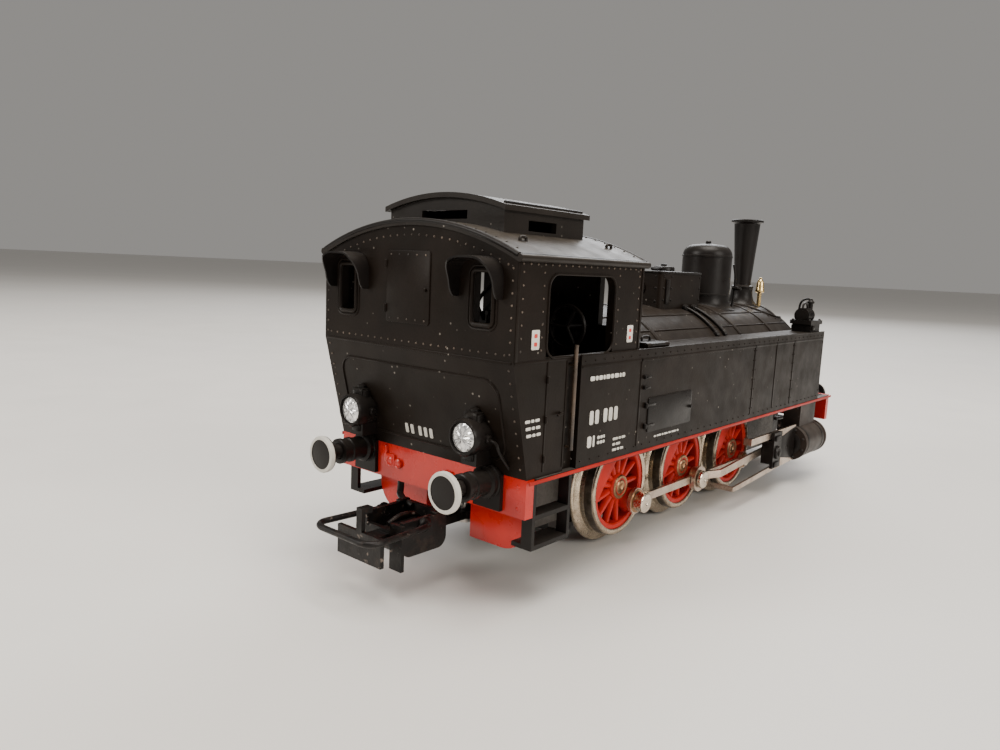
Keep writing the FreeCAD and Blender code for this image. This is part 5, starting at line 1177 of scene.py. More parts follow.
@dataclass
class Boiler(SubAssembly):
    """Bands, seams, saddle and smokebox gear, and everything that stands on the boiler."""

    radius: float = 13.6
    centre_z: float = 17.8
    tank_top: float = 26.95
    smoke_radius: float = 9.1
    smoke_z: float = 22.3
    dome_x: float = 20.65
    chimney_x: float = 36.45
    door_x: float = 39.45

    def arc(self, x: float, half_width: float, height: float, radius: float, z: float,
            start: float, end: float, steps: int = 40) -> Array:
        """Rings of a strap round a barrel, from one angle to another in degrees."""
        t = np.radians(np.linspace(start, end, steps))
        section = np.array([(-half_width, -0.1), (-half_width, 0.6 * height),
                            (-0.8 * half_width, height), (0.8 * half_width, height),
                            (half_width, 0.6 * height), (half_width, -0.1)])
        r = radius + section[None, :, 1]
        return np.stack([np.broadcast_to(x + section[None, :, 0], (steps, 6)),
                         r * np.cos(t)[:, None], z + r * np.sin(t)[:, None]], axis=-1)

    def bands(self) -> Shape:
        """Cladding bands across the boiler and long seams along it."""
        shape = Shape()
        for x in (-25.6, -12.6, 14.2, 27.4):
            shape.skin(self.arc(x, 0.5, 0.14, self.radius, self.centre_z, 42.5, 137.5))
        for angle in (50, 64, 116, 130):
            t = math.radians(angle)
            y, z = self.radius * math.cos(t), self.centre_z + self.radius * math.sin(t)
            reach = 37.5 - math.sqrt(max(7.6 ** 2 - y ** 2, 0.0)) - 0.3 if abs(y) < 7.6 else 36.9
            shape.straight((-26.0, y, z), (reach, y, z), 0.13, 8)
        return shape

    def saddle(self) -> Shape:
        """Petal-shaped edge where the cladding is cut round the smokebox, with its rivets."""
        shape = Shape()
        a = np.radians(np.linspace(-88, 88, 50))
        y = 7.6 * np.sin(a)
        path = places(37.5 - 7.6 * np.cos(a), y, self.centre_z + np.sqrt(self.radius ** 2 - y ** 2))
        shape.skin(tube_rings(path, np.full(50, 0.24), 10))
        a = np.radians(np.linspace(-80, 80, 15))
        y = 8.4 * np.sin(a)
        keep = np.abs(y) < 8.39
        dots = places(37.5 - 8.4 * np.cos(a), y, self.centre_z + np.sqrt(self.radius ** 2 - y ** 2))
        shape.rivets(dots[keep], Axis.Z, 1, 0.15, 0.12)
        shape.skin(self.arc(39.0, 0.42, 0.14, self.smoke_radius, self.smoke_z, 32, 148))
        shape.skin(self.arc(31.5, 0.3, 0.12, self.smoke_radius, self.smoke_z, 50, 130))
        return shape

    def door(self) -> Shape:
        """Smokebox door gear: rim, two strap hinges, dart with its crossed handles and a rail."""
        shape = Shape()
        x = self.door_x
        rim = [(6.95, 0.0), (7.25, 0.1), (7.3, 0.3), (7.1, 0.42), (6.9, 0.35), (6.85, 0.1)]
        shape.hoop(rim, Axis.X, (x, 0, self.smoke_z), BARREL_SIDES)
        for z in (-2.6, 2.6):
            shape.wire([(x + 0.2, 7.6, self.smoke_z + z), (x + 0.62, 6.6, self.smoke_z + z),
                        (x + 0.86, 4.0, self.smoke_z + z), (x + 1.0, 1.4, self.smoke_z + z)], 0.24)
            shape.straight((x + 0.25, 7.55, self.smoke_z + z - 0.6),
                           (x + 0.25, 7.55, self.smoke_z + z + 0.6), 0.34)
        dart = [(0.85, 0.8), (0.85, 1.2), (0.6, 1.35), (0.35, 1.4), (0.35, 1.9), (0.25, 2.0),
                (0.02, 2.0)]
        shape.turned(dart, Axis.X, (x, 0, self.smoke_z), SMALL_SIDES)
        shape.straight((x + 1.55, -0.1, self.smoke_z), (x + 1.65, -1.3, self.smoke_z - 1.9), 0.2)
        shape.straight((x + 1.8, 0.1, self.smoke_z), (x + 1.85, 0.3, self.smoke_z - 2.3), 0.2)
        shape.wire([(x + 0.1, -4.6, self.smoke_z + 6.2), (x + 0.95, -4.4, self.smoke_z + 6.3),
                    (x + 1.0, 0.0, self.smoke_z + 6.9), (x + 0.95, 4.4, self.smoke_z + 6.3),
                    (x + 0.1, 4.6, self.smoke_z + 6.2)], 0.2)
        t = np.radians(np.arange(0, 360, 20.0))
        dogs = places(x, 8.0 * np.cos(t), self.smoke_z + 8.0 * np.sin(t))
        shape.rivets(dogs[dogs[:, 2] > 17.5], Axis.X, 1, 0.17, 0.12)
        return shape

    def dome(self) -> Shape:
        """Steam dome: a flared foot, straight drum and rounded cap with a small knob."""
        t = np.linspace(0, math.pi / 2, 10)
        cap = [(4.26 - 1.9 + 1.9 * math.cos(a), 39.7 + 1.9 * math.sin(a)) for a in t]
        flare = [(5.35, 29.4), (5.36, 30.5), (4.95, 30.75), (4.6, 31.1), (4.36, 31.7), (4.27, 32.5)]
        profile = flare + cap + [(1.6, 41.72), (0.9, 41.8), (0.5, 41.82), (0.46, 42.0),
                                 (0.52, 42.15), (0.38, 42.3), (0.02, 42.34)]
        return Shape().turned(profile, Axis.Z, (self.dome_x, 0, 0), BARREL_SIDES)

    def dome_gear(self) -> Shape:
        """Band round the dome's cap and foot, and the upright pipe with its valve on the right."""
        shape = Shape()
        for z, r in ((39.6, 4.27), (33.0, 4.28)):
            band = [(r - 0.05, -0.2), (r + 0.08, -0.14), (r + 0.08, 0.14), (r - 0.05, 0.2)]
            shape.hoop(band, Axis.Z, (self.dome_x, 0, z), BARREL_SIDES)
        shape.wire([(24.6, -3.2, 30.3), (24.9, -3.5, 32.0), (24.95, -3.6, 36.0),
                    (24.6, -3.3, 38.4)], 0.2)
        shape.straight((24.95, -3.2, 34.2), (24.95, -4.4, 34.2), 0.32)
        shape.turned([(0.5, -0.25), (0.62, 0.0), (0.5, 0.25)], Axis.Z, (24.95, -4.3, 34.2), 20)
        return shape

    def chimney(self) -> Shape:
        """Chimney: flared foot, collar, slim tapering stack and a rolled rim, hollow at the top."""
        profile = [(3.9, 29.6), (3.6, 30.6), (2.9, 31.2), (2.35, 31.9), (2.08, 32.8), (2.0, 33.8),
                   (2.05, 34.3), (2.12, 34.42), (2.05, 34.6), (1.6, 34.8), (1.56, 35.2),
                   (1.95, 40.8), (2.38, 46.3), (2.62, 46.5), (2.9, 46.6), (2.95, 46.75),
                   (2.92, 46.98), (2.75, 47.09), (2.3, 47.05), (2.05, 46.7), (1.5, 41.0),
                   (1.2, 37.0), (0.02, 36.8)]
        return Shape().turned(profile, Axis.Z, (self.chimney_x, 0, 0), 64)

    def sandbox(self) -> Shape:
        """Gear on the sandbox: top rim, hinged lid, corner rivets, side flanges and pipe unions."""
        shape = Shape()
        rim = np.concatenate([lay(rounded(13.35, 8.0, 0.8, (4.525, 0), 6), Axis.Z, 36.42)])
        shape.bead(rim, 0.2)
        lid = [(1.75, 36.6), (1.75, 37.15), (1.6, 37.35), (0.7, 37.45), (0.5, 37.5), (0.5, 37.75),
               (0.3, 37.85), (0.02, 37.86)]
        shape.turned(lid, Axis.Z, (5.35, 0, 0), FITTING_SIDES)
        shape.block((2.7, -0.7, 36.6), (3.9, 0.7, 37.1), 0.12)
        shape.straight((3.1, -1.0, 37.0), (3.1, 1.0, 37.0), 0.24)
        for side in Side:
            s = side.value
            for x in (5.4, 8.2):
                shape.straight((x, s * 3.9, 31.0), (x, s * 4.7, 30.9), 0.55)
                shape.straight((x, s * 4.3, 30.6), (x, s * 4.9, 30.6), 0.4)
            centres = np.array([[x, s * 4.0, z] for x in (-1.4, 1.0, 10.4)
                                for z in (32.2, 34.0, 35.8)])
            shape.rivets(centres, Axis.Y, s, 0.2, 0.14)
            shape.block((-0.9, s * 3.95, 31.6), (0.2, s * 4.25, 35.4), 0.1)
        centres = np.array([[-2.15, y, z] for y in (-3.0, 3.0) for z in (32.0, 34.0, 35.8)])
        shape.rivets(centres, Axis.X, -1, 0.2, 0.14)
        ring = [(0.6, -2.2), (1.15, -2.2), (1.2, -2.42), (1.05, -2.55), (0.6, -2.5)]
        shape.hoop(ring, Axis.X, (0, 0, 33.9), SMALL_SIDES)
        return shape

    def pipes(self) -> Shape:
        """Four sand pipes lying round the boiler, each with a nut at its tank end."""
        shape = Shape()
        for side in Side:
            for x in (5.4, 8.2):
                t = np.radians(np.linspace(17.5, 47.0, 26))
                r = self.radius + 0.28
                path = places(x, side.value * r * np.sin(t), self.centre_z + r * np.cos(t))
                shape.skin(tube_rings(path, np.full(26, 0.28), 12))
                shape.straight(tuple(path[-3]),
                               tuple(path[-1] + [0, side.value * 0.1, -0.3]), 0.45, 6)
        return shape

    def bell(self) -> Shape:
        """Brass whistle bell on its post."""
        profile = [(0.4, 31.0), (0.4, 33.4), (0.6, 33.45), (0.85, 33.6), (0.88, 33.8), (0.8, 34.0),
                   (0.72, 34.9), (0.62, 35.5), (0.4, 35.95), (0.26, 36.05), (0.26, 36.3),
                   (0.02, 36.4)]
        return Shape().turned(profile, Axis.Z, (38.6, -2.7, 0), SMALL_SIDES)

    def pump(self) -> Shape:
        """Small pipes and studs of the feed pump on the right tank."""
        shape = Shape()
        x, y, z = 36.2, -12.9, self.tank_top
        shape.wire([(x + 1.5, y, z + 5.3), (x + 1.6, y + 0.6, z + 5.9), (x + 1.4, y + 1.8, z + 5.0),
                    (x + 1.2, y + 2.0, z + 1.5)], 0.2)
        shape.wire([(x - 2.4, y, z + 4.2), (x - 2.0, y, z + 5.0), (x - 0.6, y, z + 5.1),
                    (x + 0.2, y, z + 4.0)], 0.2)
        shape.turned([(0.62, 5.1), (0.62, 5.4), (0.4, 5.6), (0.25, 5.95), (0.02, 6.0)], Axis.Z,
                     (x + 1.5, y, z), 24)
        nuts = np.array([[x + dx, y + dy, z + 2.1] for dx in (-2.5, 2.6) for dy in (-1.5, 1.5)])
        shape.rivets(nuts, Axis.Z, 1, 0.28, 0.26)
        shape.block((x - 1.9, y - 2.0, z + 0.3), (x - 0.6, y + 2.0, z + 1.2), 0.12)
        return shape

    def build(self) -> None:
        """Make the boiler's pieces."""
        self.add(self.bands(), "boiler_bands", Finish.SHELL)
        self.add(self.saddle(), "smokebox_saddle", Finish.SHELL)
        self.add(self.door(), "smokebox_door_gear", Finish.FITTING)
        self.add(self.dome(), "dome_drum", Finish.FITTING, stands_for=["steam_dome"])
        self.add(self.dome_gear(), "dome_gear", Finish.FITTING)
        self.add(self.chimney(), "chimney_stack", Finish.FITTING, stands_for=["chimney"])
        self.add(self.sandbox(), "sandbox_gear", Finish.FITTING)
        self.add(self.pipes(), "sand_pipe_runs", Finish.FITTING, stands_for=["sand_pipes"])
        self.add(self.bell(), "whistle_bell", Finish.BRASS, stands_for=["whistle"])
        self.add(self.pump(), "pump_pipes", Finish.FITTING)


# ---------------------------------------------------------------- cab and roof

@dataclass
class Cab(SubAssembly):
    """Rivets, seams, window frames and hoods of the cab, and its inside."""

    back: float = -49.85
    foot: float = -46.85
    front: float = -26.35
    side_y: float = 15.0
    waist: float = 26.75
    deck: float = 14.5

    def lean(self, z: float) -> float:
        """X of the rear wall's outside at a height: it leans in below the waist."""
        if z >= self.waist:
            return self.back
        return self.foot + (self.back - self.foot) * (z - self.deck) / (self.waist - self.deck)

    def bar(self, shape: Shape, side: Side, x0: float, x1: float, z0: float, z1: float,
            height: float = 0.07) -> None:
        """A raised strip on a cab side."""
        s = side.value
        low, high = sorted((s * (self.side_y - 0.03), s * (self.side_y + height)))
        shape.block((x0, low, z0), (x1, high, z1), 0.02, Axis.Y)

    def side_trim(self) -> Shape:
        """Door seams, waist bead, window surround and corner strips of both sides."""
        shape = Shape()
        for side in Side:
            s = side.value
            for x in (-44.3, -40.9):
                self.bar(shape, side, x - 0.11, x + 0.11, 15.0, 26.7)
            self.bar(shape, side, self.back + 0.1, -38.7, 26.62, 26.9)
            self.bar(shape, side, self.back + 0.05, self.back + 0.45, 26.9, 36.9, 0.09)
            self.bar(shape, side, self.front - 0.45, self.front - 0.05, 27.0, 36.9, 0.09)
            opening = rounded(12.4, 8.6, 1.5, (-38.55, 31.3), 6)
            y = s * (self.side_y + 0.02)
            ring = lay(opening, Axis.Y, y)
            shape.bead(ring, 0.14)
            for z in (16.4, 20.6, 24.8):
                shape.straight((-44.3, s * (self.side_y + 0.12), z - 0.4),
                               (-44.3, s * (self.side_y + 0.12), z + 0.4),
                               0.16, 10)
            shape.straight((-41.7, s * self.side_y, 21.0),
                           (-41.7, s * (self.side_y + 0.4), 21.0), 0.16, 10)
            shape.straight((-41.7, s * (self.side_y + 0.36), 21.0),
                           (-42.6, s * (self.side_y + 0.36), 20.9), 0.13, 10)
        return shape

    def rear_trim(self) -> Shape:
        """Hatch, window frames, waist bead, and the raised panel of the leaning lower wall."""
        shape = Shape()
        x = self.back
        shape.plate(rounded(6.9, 7.9, 0.35, (0.35, 33.45), 3), Axis.X, x - 0.13, x + 0.1, 0.04)
        for z in (31.0, 35.9):
            shape.straight((x - 0.16, 3.9, z - 0.45), (x - 0.16, 3.9, z + 0.45), 0.17, 10)
        shape.straight((x, -2.5, 33.3), (x - 0.42, -2.5, 33.3), 0.2, 10)
        shape.block((x - 0.1, -14.7, self.waist - 0.14), (x + 0.1, 14.7, self.waist + 0.14), 0.05,
                    Axis.Y)
        for side in Side:
            s = side.value
            for half, depth in ((0.0, 0.5), (0.45, 0.24)):
                drawing = rounded(2.9 + 2 * half, 5.5 + 2 * half, 0.5 + half, (s * 10.65, 32.95), 5)
                ring = lay(drawing, Axis.X, x - 0.02)
                shape.bead(ring, depth * 0.5)
        panel = rounded(25.2, 8.7, 2.0, (0, 20.35), 6)
        ring = lay(panel, Axis.X, 0.0)
        ring[:, 0] = [self.lean(z) - 0.03 for z in ring[:, 2]]
        shape.bead(ring, 0.13)
        return shape

    def hoods(self) -> Shape:
        """Curved rain hoods over the rear windows: a bent sheet that stands out from the wall.

        Each hood's edge runs along half of a long oval; its depth swells from nothing at
        the two lower ends to its full reach at the crown.
        """
        shape = Shape()
        for side in Side:
            t = np.radians(np.linspace(-14, 194, 48))
            turn = np.stack([np.cos(t), np.sin(t)])
            arch = np.abs(turn) ** 0.62 * np.sign(turn)
            y = side.value * 10.15 + 2.9 * arch[0]
            z = 34.1 + 2.75 * arch[1]
            reach = 2.5 * np.clip(np.sin(t) * 0.9 + 0.34, 0.05, 1.0) ** 0.5
            section = []
            for depth, lift in ((0.0, 0.24), (0.5, 0.24), (1.0, 0.18), (1.0, -0.02), (0.5, -0.06),
                                (0.0, -0.06)):
                section.append(places(self.back + 0.06 - depth * reach, y + lift * np.cos(t),
                                      z + lift * np.sin(t)))
            shape.skin(np.stack(section, axis=1))
        return shape

    def rivets(self) -> Shape:
        """Rivet rows along the cab's edges."""
        shape = Shape()
        for side in Side:
            s = side.value
            x = np.arange(-49.0, -26.6, 1.15)
            shape.rivets(places(x, s * self.side_y, 36.5), Axis.Y, s, *RIVET)
            for x0 in (self.back + 0.95, -45.6, -31.6, self.front - 0.95):
                z = np.arange(27.9, 36.0, 1.3)
                shape.rivets(places(x0, s * self.side_y, z), Axis.Y, s, *SMALL_RIVET)
            z = np.arange(15.6, 26.4, 1.3)
            shape.rivets(places(-39.2, s * self.side_y, z), Axis.Y, s, *SMALL_RIVET)
            z = np.arange(27.6, 36.2, 1.2)
            column = places(self.back, s * 14.45, z)
            shape.rivets(column, Axis.X, -1, *RIVET)
            z = np.arange(15.6, 26.4, 1.3)
            column = places(np.array([self.lean(h) for h in z]), s * 14.3, z)
            shape.rivets(column, Axis.X, -1, *RIVET)
        y = np.linspace(-13.8, 13.8, 25)
        shape.rivets(places(self.back, y, self.waist + 0.75), Axis.X, -1, *SMALL_RIVET)
        arch = ROOF_RIDGE - 0.7 - ROOF_RADIUS + np.sqrt(ROOF_RADIUS ** 2 - y ** 2) - 1.0
        shape.rivets(places(self.back, y, arch), Axis.X, -1, *RIVET)
        y = np.linspace(-2.4, 3.1, 5)
        for z in (29.95, 36.95):
            shape.rivets(places(self.back - 0.12, y, z), Axis.X, -1, *SMALL_RIVET)
        return shape

    def inside(self) -> Shape:
        """Backhead of the boiler with its fire-hole ring, gauges, regulator and pipes."""
        shape = Shape()
        x = self.front - 0.7
        wheel_y, wheel_z = -8.6, 29.4
        wheel = (x - 5.4, wheel_y, wheel_z)
        t = np.radians(np.linspace(0, 360, 40, endpoint=False))
        drawing = np.stack([8.6 * np.sign(np.cos(t)) * np.abs(np.cos(t)) ** 0.75,
                            24.6 + 8.4 * np.sign(np.sin(t)) * np.abs(np.sin(t)) ** 0.8], axis=1)
        shape.plate(drawing, Axis.X, x - 3.4, x, 0.6)
        shape.hoop([(2.3, 0), (2.9, -0.1), (2.9, -0.6), (2.3, -0.6)], Axis.X,
                   (x - 3.3, 0, 22.4), FITTING_SIDES)
        dial = [(1.25, 0.0), (1.3, -0.5), (1.15, -0.72), (1.05, -0.6), (0.02, -0.6)]
        for y, z in ((-3.2, 30.6), (2.6, 31.0)):
            shape.turned(dial, Axis.X, (x - 3.3, y, z), SMALL_SIDES)
        for y in (-5.4, 5.4):
            shape.straight((x - 3.9, y, 25.6), (x - 3.9, y, 30.0), 0.3)
            for z in (25.6, 30.0):
                shape.straight((x - 3.2, y, z), (x - 4.2, y, z), 0.42)
        shape.wire([(x - 3.4, 0, 28.6), (x - 4.6, 0, 28.6), (x - 4.7, -0.6, 28.0),
                    (x - 4.7, -4.4, 26.9)], 0.26)
        shape.wire([(x - 3.3, 6.6, 29.0), (x - 4.1, 7.0, 31.5), (x - 3.6, 4.0, 34.4),
                    (x - 1.0, 2.6, 34.6)], 0.24)
        shape.hoop([(2.35, -0.2), (2.65, -0.2), (2.75, 0.0), (2.65, 0.2), (2.35, 0.2)], Axis.X,
                   wheel, FITTING_SIDES)
        for angle in (0, 120, 240):
            a = math.radians(angle)
            shape.straight(wheel,
                           (x - 5.4, wheel_y + 2.45 * math.cos(a), wheel_z + 2.45 * math.sin(a)),
                           0.2)
        shape.straight(wheel, (x - 1.0, wheel_y, wheel_z), 0.34)
        return shape

    def labels(self) -> tuple[Shape, Shape]:
        """Small white labels with two plain red bars, by the corners of the side openings."""
        white, red = Shape(), Shape()
        for side in Side:
            for x in (-46.6, -28.7):
                white.sheet(rounded(1.25, 2.0, 0.15, (x, 29.0), 3), side,
                            self.side_y - 0.01, self.side_y + 0.05, 0.015)
                for z in (28.55, 29.4):
                    red.sheet(rounded(0.5, 0.42, 0.1, (x, z), 2), side,
                              self.side_y + 0.02, self.side_y + 0.075, 0.015)
        return white, red

    def number(self) -> Shape:
        """Plain white bars in a row across the leaning wall."""
        shape = Shape()
        for y in (2.4, 1.5, 0.2, -0.7, -1.6):
            rings = plate_rings(rounded(0.5, 1.15, 0.15, (y, 17.2), 2), Axis.X, -0.06, 0.02, 0.012)
            rings[..., 0] += np.vectorize(self.lean)(rings[..., 2])
            shape.skin(rings)
        return shape

    def build(self) -> None:
        """Make the cab's pieces."""
        self.add(self.side_trim(), "cab_side_trim", Finish.SHELL)
        self.add(self.rear_trim(), "cab_rear_trim", Finish.SHELL)
        self.add(self.hoods(), "cab_window_hoods", Finish.FITTING)
        self.add(self.rivets(), "cab_rivets", Finish.WORN)
        self.add(self.inside(), "cab_backhead", Finish.FITTING)
        white, red = self.labels()
        self.add(white, "cab_labels_white", Finish.MARK_WHITE)
        self.add(red, "cab_labels_red", Finish.MARK_RED)
        self.add(self.number(), "cab_number_bars", Finish.MARK_WHITE)


@dataclass
class Roof(SubAssembly):
    """Gutter lip, ribs and lugs of the roof, and the trim of the ventilator on top."""

    radius: float = ROOF_RADIUS
    ridge: float = ROOF_RIDGE
    back: float = -50.2
    front: float = -26.0

    def height(self, y: Array | float, ridge: float, radius: float) -> Array | float:
        """Height of an arched sheet at a distance from the middle."""
        return ridge - radius + np.sqrt(radius ** 2 - np.square(y))

    def arches(self) -> Shape:
        """Rolled lips along both ends of the roof and the gutter lips along both its sides."""
        shape = Shape()
        y = np.linspace(-15.1, 15.1, 40)
        for x in (self.back + 0.3, self.front - 0.3):
            path = places(x, y, self.height(y, self.ridge, self.radius) - 0.2)
            shape.skin(tube_rings(path, np.full(40, 0.3), 10))
        for side in Side:
            s = side.value
            z = float(self.height(15.1, self.ridge, self.radius)) - 0.25
            shape.straight((self.back + 0.3, s * 15.1, z), (self.front - 0.3, s * 15.1, z), 0.3, 10)
        return shape

    def lugs(self) -> Shape:
        """Lifting lugs near the corners of the roof and rivets along its joints."""
        shape = Shape()
        for side in Side:
            for x in (-45.4, -29.4):
                y = side.value * 11.8
                z = float(self.height(y, self.ridge, self.radius))
                shape.wire([(x - 0.5, y, z - 0.1), (x - 0.4, y, z + 0.35), (x + 0.4, y, z + 0.35),
                            (x + 0.5, y, z - 0.1)],
                           0.17)
        y = np.linspace(-14.0, 14.0, 21)
        for x in (-48.9, -27.3):
            z = self.height(y, self.ridge, self.radius)
            shape.rivets(places(x, y, z), Axis.Z, 1, *RIVET)
        return shape

    def ventilator(self) -> Shape:
        """Rolled lips of the ventilator's lid, its foot flange and window bars."""
        shape = Shape()
        y = np.linspace(-8.7, 8.7, 30)
        rise = (44.0 - 42.7)
        radius = (8.9 ** 2 + rise ** 2) / (2 * rise)
        for x in (-44.9, -30.9):
            path = places(x, y, self.height(y, 43.9, radius) - 0.1)
            shape.skin(tube_rings(path, np.full(30, 0.22), 10))
        for side in Side:
            s = side.value
            z = float(self.height(8.0, self.ridge, self.radius))
            shape.straight((-44.9, s * 8.68, 42.8), (-30.9, s * 8.68, 42.8), 0.22, 10)
            shape.block((-44.9, s * 7.9, z - 0.1), (-30.9, s * 8.3, z + 0.18), 0.06, Axis.X)
        return shape

    def build(self) -> None:
        """Make the roof's pieces."""
        self.add(self.arches(), "roof_lips", Finish.FITTING)
        self.add(self.lugs(), "roof_lugs", Finish.ROOF)
        self.add(self.ventilator(), "ventilator_trim", Finish.FITTING)


@dataclass
class Lamps(SubAssembly):
    """Four lamps: a capped body with cooling hood, silver reflector, bezel and conduit."""

    y: float = 9.2
    z: float = 18.5

    def bodies(self) -> Shape:
        """Bodies with a top chimney, side bosses and a bracket."""
        shape = Shape()
        for end, face in ((End.REAR, 50.65), (End.FRONT, 43.2)):
            e = end.value
            for side in Side:
                s = side.value
                y = s * self.y
                seat = face - (3.4 if end is End.REAR else 3.4)
                can = [(0.6, seat), (1.75, seat), (1.8, face - 1.6), (1.95, face - 1.5),
                       (1.98, face - 0.3), (1.86, face - 0.05), (1.72, face - 0.02),
                       (1.66, face - 0.25), (0.6, face - 0.6)]
                profile = [(r, e * d) for r, d in can]
                shape.hoop(profile, Axis.X, (0, y, self.z), FITTING_SIDES)
                x = e * (face - 1.9)
                cap = [(1.05, 1.3), (1.05, 2.3), (0.85, 2.55), (0.5, 2.6), (0.5, 2.85), (0.3, 2.98),
                       (0.02, 3.0)]
                shape.turned(cap, Axis.Z, (x, y, self.z), 24)
                for dy in (-1, 1):
                    shape.straight((x, y + dy * 1.6, self.z), (x, y + dy * 2.25, self.z), 0.4)
                shape.block((x - 0.9, y - 0.7, self.z - 2.6),
                            (x + 0.9, y + 0.7, self.z - 1.6), 0.12)
        return shape

    def reflectors(self) -> Shape:
        """Silver lenses: twelve flutes round a small bright boss.

        The height falls with the square of the radius and ripples with the cosine of
        twelve times the angle, most strongly half way out.
        """
        shape = Shape()
        for end, face in ((End.REAR, 50.65), (End.FRONT, 43.2)):
            e = end.value
            for side in Side:
                a = np.linspace(0, 2 * math.pi, 72, endpoint=False)
                rings = []
                for r in (1.56, 1.5, 1.3, 1.05, 0.8, 0.55, 0.34, 0.18, 0.02):
                    share = r / 1.5
                    ripple = 0.05 * np.cos(12 * a) * math.sin(math.pi * min(share, 1.0))
                    x = face - 0.26 + 0.24 * (1 - share ** 2) + ripple - (0.12 if r > 1.5 else 0)
                    rings.append(places(e * x, side.value * self.y + r * np.cos(a),
                                        self.z + r * np.sin(a)))
                back = rings[0].copy()
                back[:, 0] = e * (face - 0.5)
                shape.skin(np.stack([back] + rings))
        return shape

    def conduits(self) -> Shape:
        """Thin curved wire from each lamp down to the footplate."""
        shape = Shape()
        for end, face in ((End.REAR, 50.65), (End.FRONT, 43.2)):
            e = end.value
            for side in Side:
                s = side.value
                x = e * (face - 1.9)
                foot = -46.2 if end is End.REAR else 42.6
                shape.wire([(x, s * 11.35, 18.4), (x - e * 0.1, s * 12.2, 18.1),
                            (x - e * 0.4, s * 12.6, 17.0),
                            (foot, s * 12.7, 14.5)], 0.17, 8, 10)
        return shape

    def build(self) -> None:
        """Make the lamps' pieces."""
        self.add(self.bodies(), "lamp_cans", Finish.FITTING)
        self.add(self.reflectors(), "lamp_reflectors", Finish.LAMP, stands_for=["lamp_lenses"])
        self.add(self.conduits(), "lamp_conduits", Finish.FITTING)


# ---------------------------------------------------------------- light, floor and camera

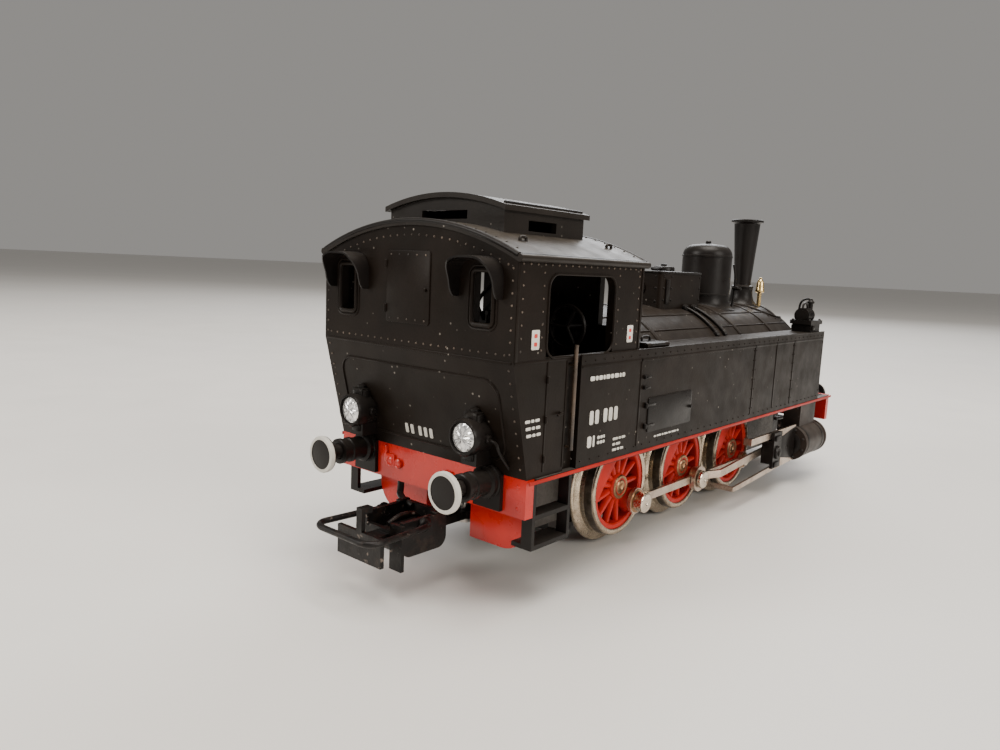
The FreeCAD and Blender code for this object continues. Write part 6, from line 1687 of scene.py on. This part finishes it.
@dataclass
class Studio:
    """A pale floor, soft lamps and the camera."""

    palette: Palette
    eye: Point = (-106.69, -61.94, 35.99)
    yaw: float = 40.53
    pitch: float = 7.98
    roll: float = -2.6
    lens: float = 27.53

    def floor(self) -> None:
        """Lay a floor so wide that its edge stays at the horizon."""
        build = bmesh.new()
        ring = [build.verts.new((9 * math.cos(a), 9 * math.sin(a), -0.0002))
                for a in np.linspace(0, 2 * math.pi, 96, endpoint=False)]
        build.faces.new(ring)
        bmesh.ops.recalc_face_normals(build, faces=build.faces)
        mesh = bpy.data.meshes.new("floor")
        build.to_mesh(mesh)
        build.free()
        mesh.materials.append(self.palette[Finish.TABLE])
        floor = bpy.data.objects.new("floor", mesh)
        bpy.context.scene.collection.objects.link(floor)

    def lamp(self, name: str, place: Point, aim: Point, size: float, power: float,
             colour: Colour) -> None:
        """Hang one square soft light.

        Args:
            name: of the light.
            place: where it hangs, in metres.
            aim: the point it faces.
            size: of its side.
            power: in watts.
            colour: of its light.
        """
        data = bpy.data.lights.new(name, "AREA")
        data.shape, data.size, data.energy, data.color = "SQUARE", size, power, colour
        light = bpy.data.objects.new(name, data)
        light.location = place
        light.rotation_mode = "QUATERNION"
        light.rotation_quaternion = (Vector(aim) - Vector(place)).to_track_quat("-Z", "Y")
        bpy.context.scene.collection.objects.link(light)

    def lights(self) -> None:
        """Hang the lights: a broad one overhead, one by each shoulder and a faint one behind."""
        self.lamp("overhead", (-0.05, -0.08, 0.62), (0, 0, 0.02), 0.42, 6.2, (1.0, 0.95, 0.88))
        self.lamp("left_shoulder", (-0.5, 0.3, 0.3), (-0.02, 0, 0.02), 0.22, 2.2, (1.0, 0.96, 0.9))
        self.lamp("right_shoulder", (-0.05, -0.62, 0.3), (0, 0, 0.02), 0.3, 3.0, (1.0, 0.95, 0.88))
        self.lamp("ahead", (0.5, 0.25, 0.4), (0, 0, 0.03), 0.4, 2.4, (0.95, 0.97, 1.0))
        world = bpy.data.worlds.new("room")
        world.use_nodes = True
        back = world.node_tree.nodes["Background"]
        back.inputs["Color"].default_value = (0.86, 0.83, 0.79, 1)
        back.inputs["Strength"].default_value = 0.34
        bpy.context.scene.world = world

    def camera(self) -> None:
        """Stand the camera behind the right rear corner, slightly above the roof's waist."""
        yaw, pitch, roll = (math.radians(v) for v in (self.yaw, self.pitch, self.roll))
        ahead = Vector((math.cos(pitch) * math.cos(yaw), math.cos(pitch) * math.sin(yaw),
                        -math.sin(pitch)))
        level = Vector((math.sin(yaw), -math.cos(yaw), 0))
        upright = level.cross(ahead)
        right = math.cos(roll) * level - math.sin(roll) * upright
        up = math.sin(roll) * level + math.cos(roll) * upright
        data = bpy.data.cameras.new("camera")
        data.lens, data.sensor_width, data.clip_start, data.clip_end = self.lens, 36, 0.005, 20
        camera = bpy.data.objects.new("camera", data)
        turn = Matrix((right, up, -ahead)).transposed().to_4x4()
        camera.matrix_world = Matrix.Translation(Vector(self.eye) * MM) @ turn
        bpy.context.scene.collection.objects.link(camera)
        bpy.context.scene.camera = camera

    def build(self) -> None:
        """Set everything up."""
        self.floor()
        self.lights()
        self.camera()


def corners(box: tuple[Vector, Vector]) -> list[list[float]]:
    """The two corners of a box as plain lists."""
    return [[float(v) for v in corner] for corner in box]


def main() -> None:
    """Build the locomotive from its running gear up, then the studio."""
    logging.basicConfig(level=logging.INFO, format="%(name)s: %(message)s")
    palette = Palette()
    dress_nodes(palette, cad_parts)
    parts: list[SubAssembly | Studio] = [
        Wheelset(palette, "rear", -20.65, 11.6, 13.0, 1.35),
        Wheelset(palette, "middle", -3.25, 12.2, 12.9, 1.35),
        Wheelset(palette, "front", 14.15, 11.6, 12.1, 0.95),
        Motion(palette), Footplate(palette), Buffers(palette),
        Coupler(palette, End.REAR), Coupler(palette, End.FRONT),
        Tanks(palette), Boiler(palette), Cab(palette), Roof(palette), Lamps(palette),
        Studio(palette),
    ]
    for part in parts:
        log.info("building %s", type(part).__name__)
        part.build()


if __name__ == "__main__":
    main()
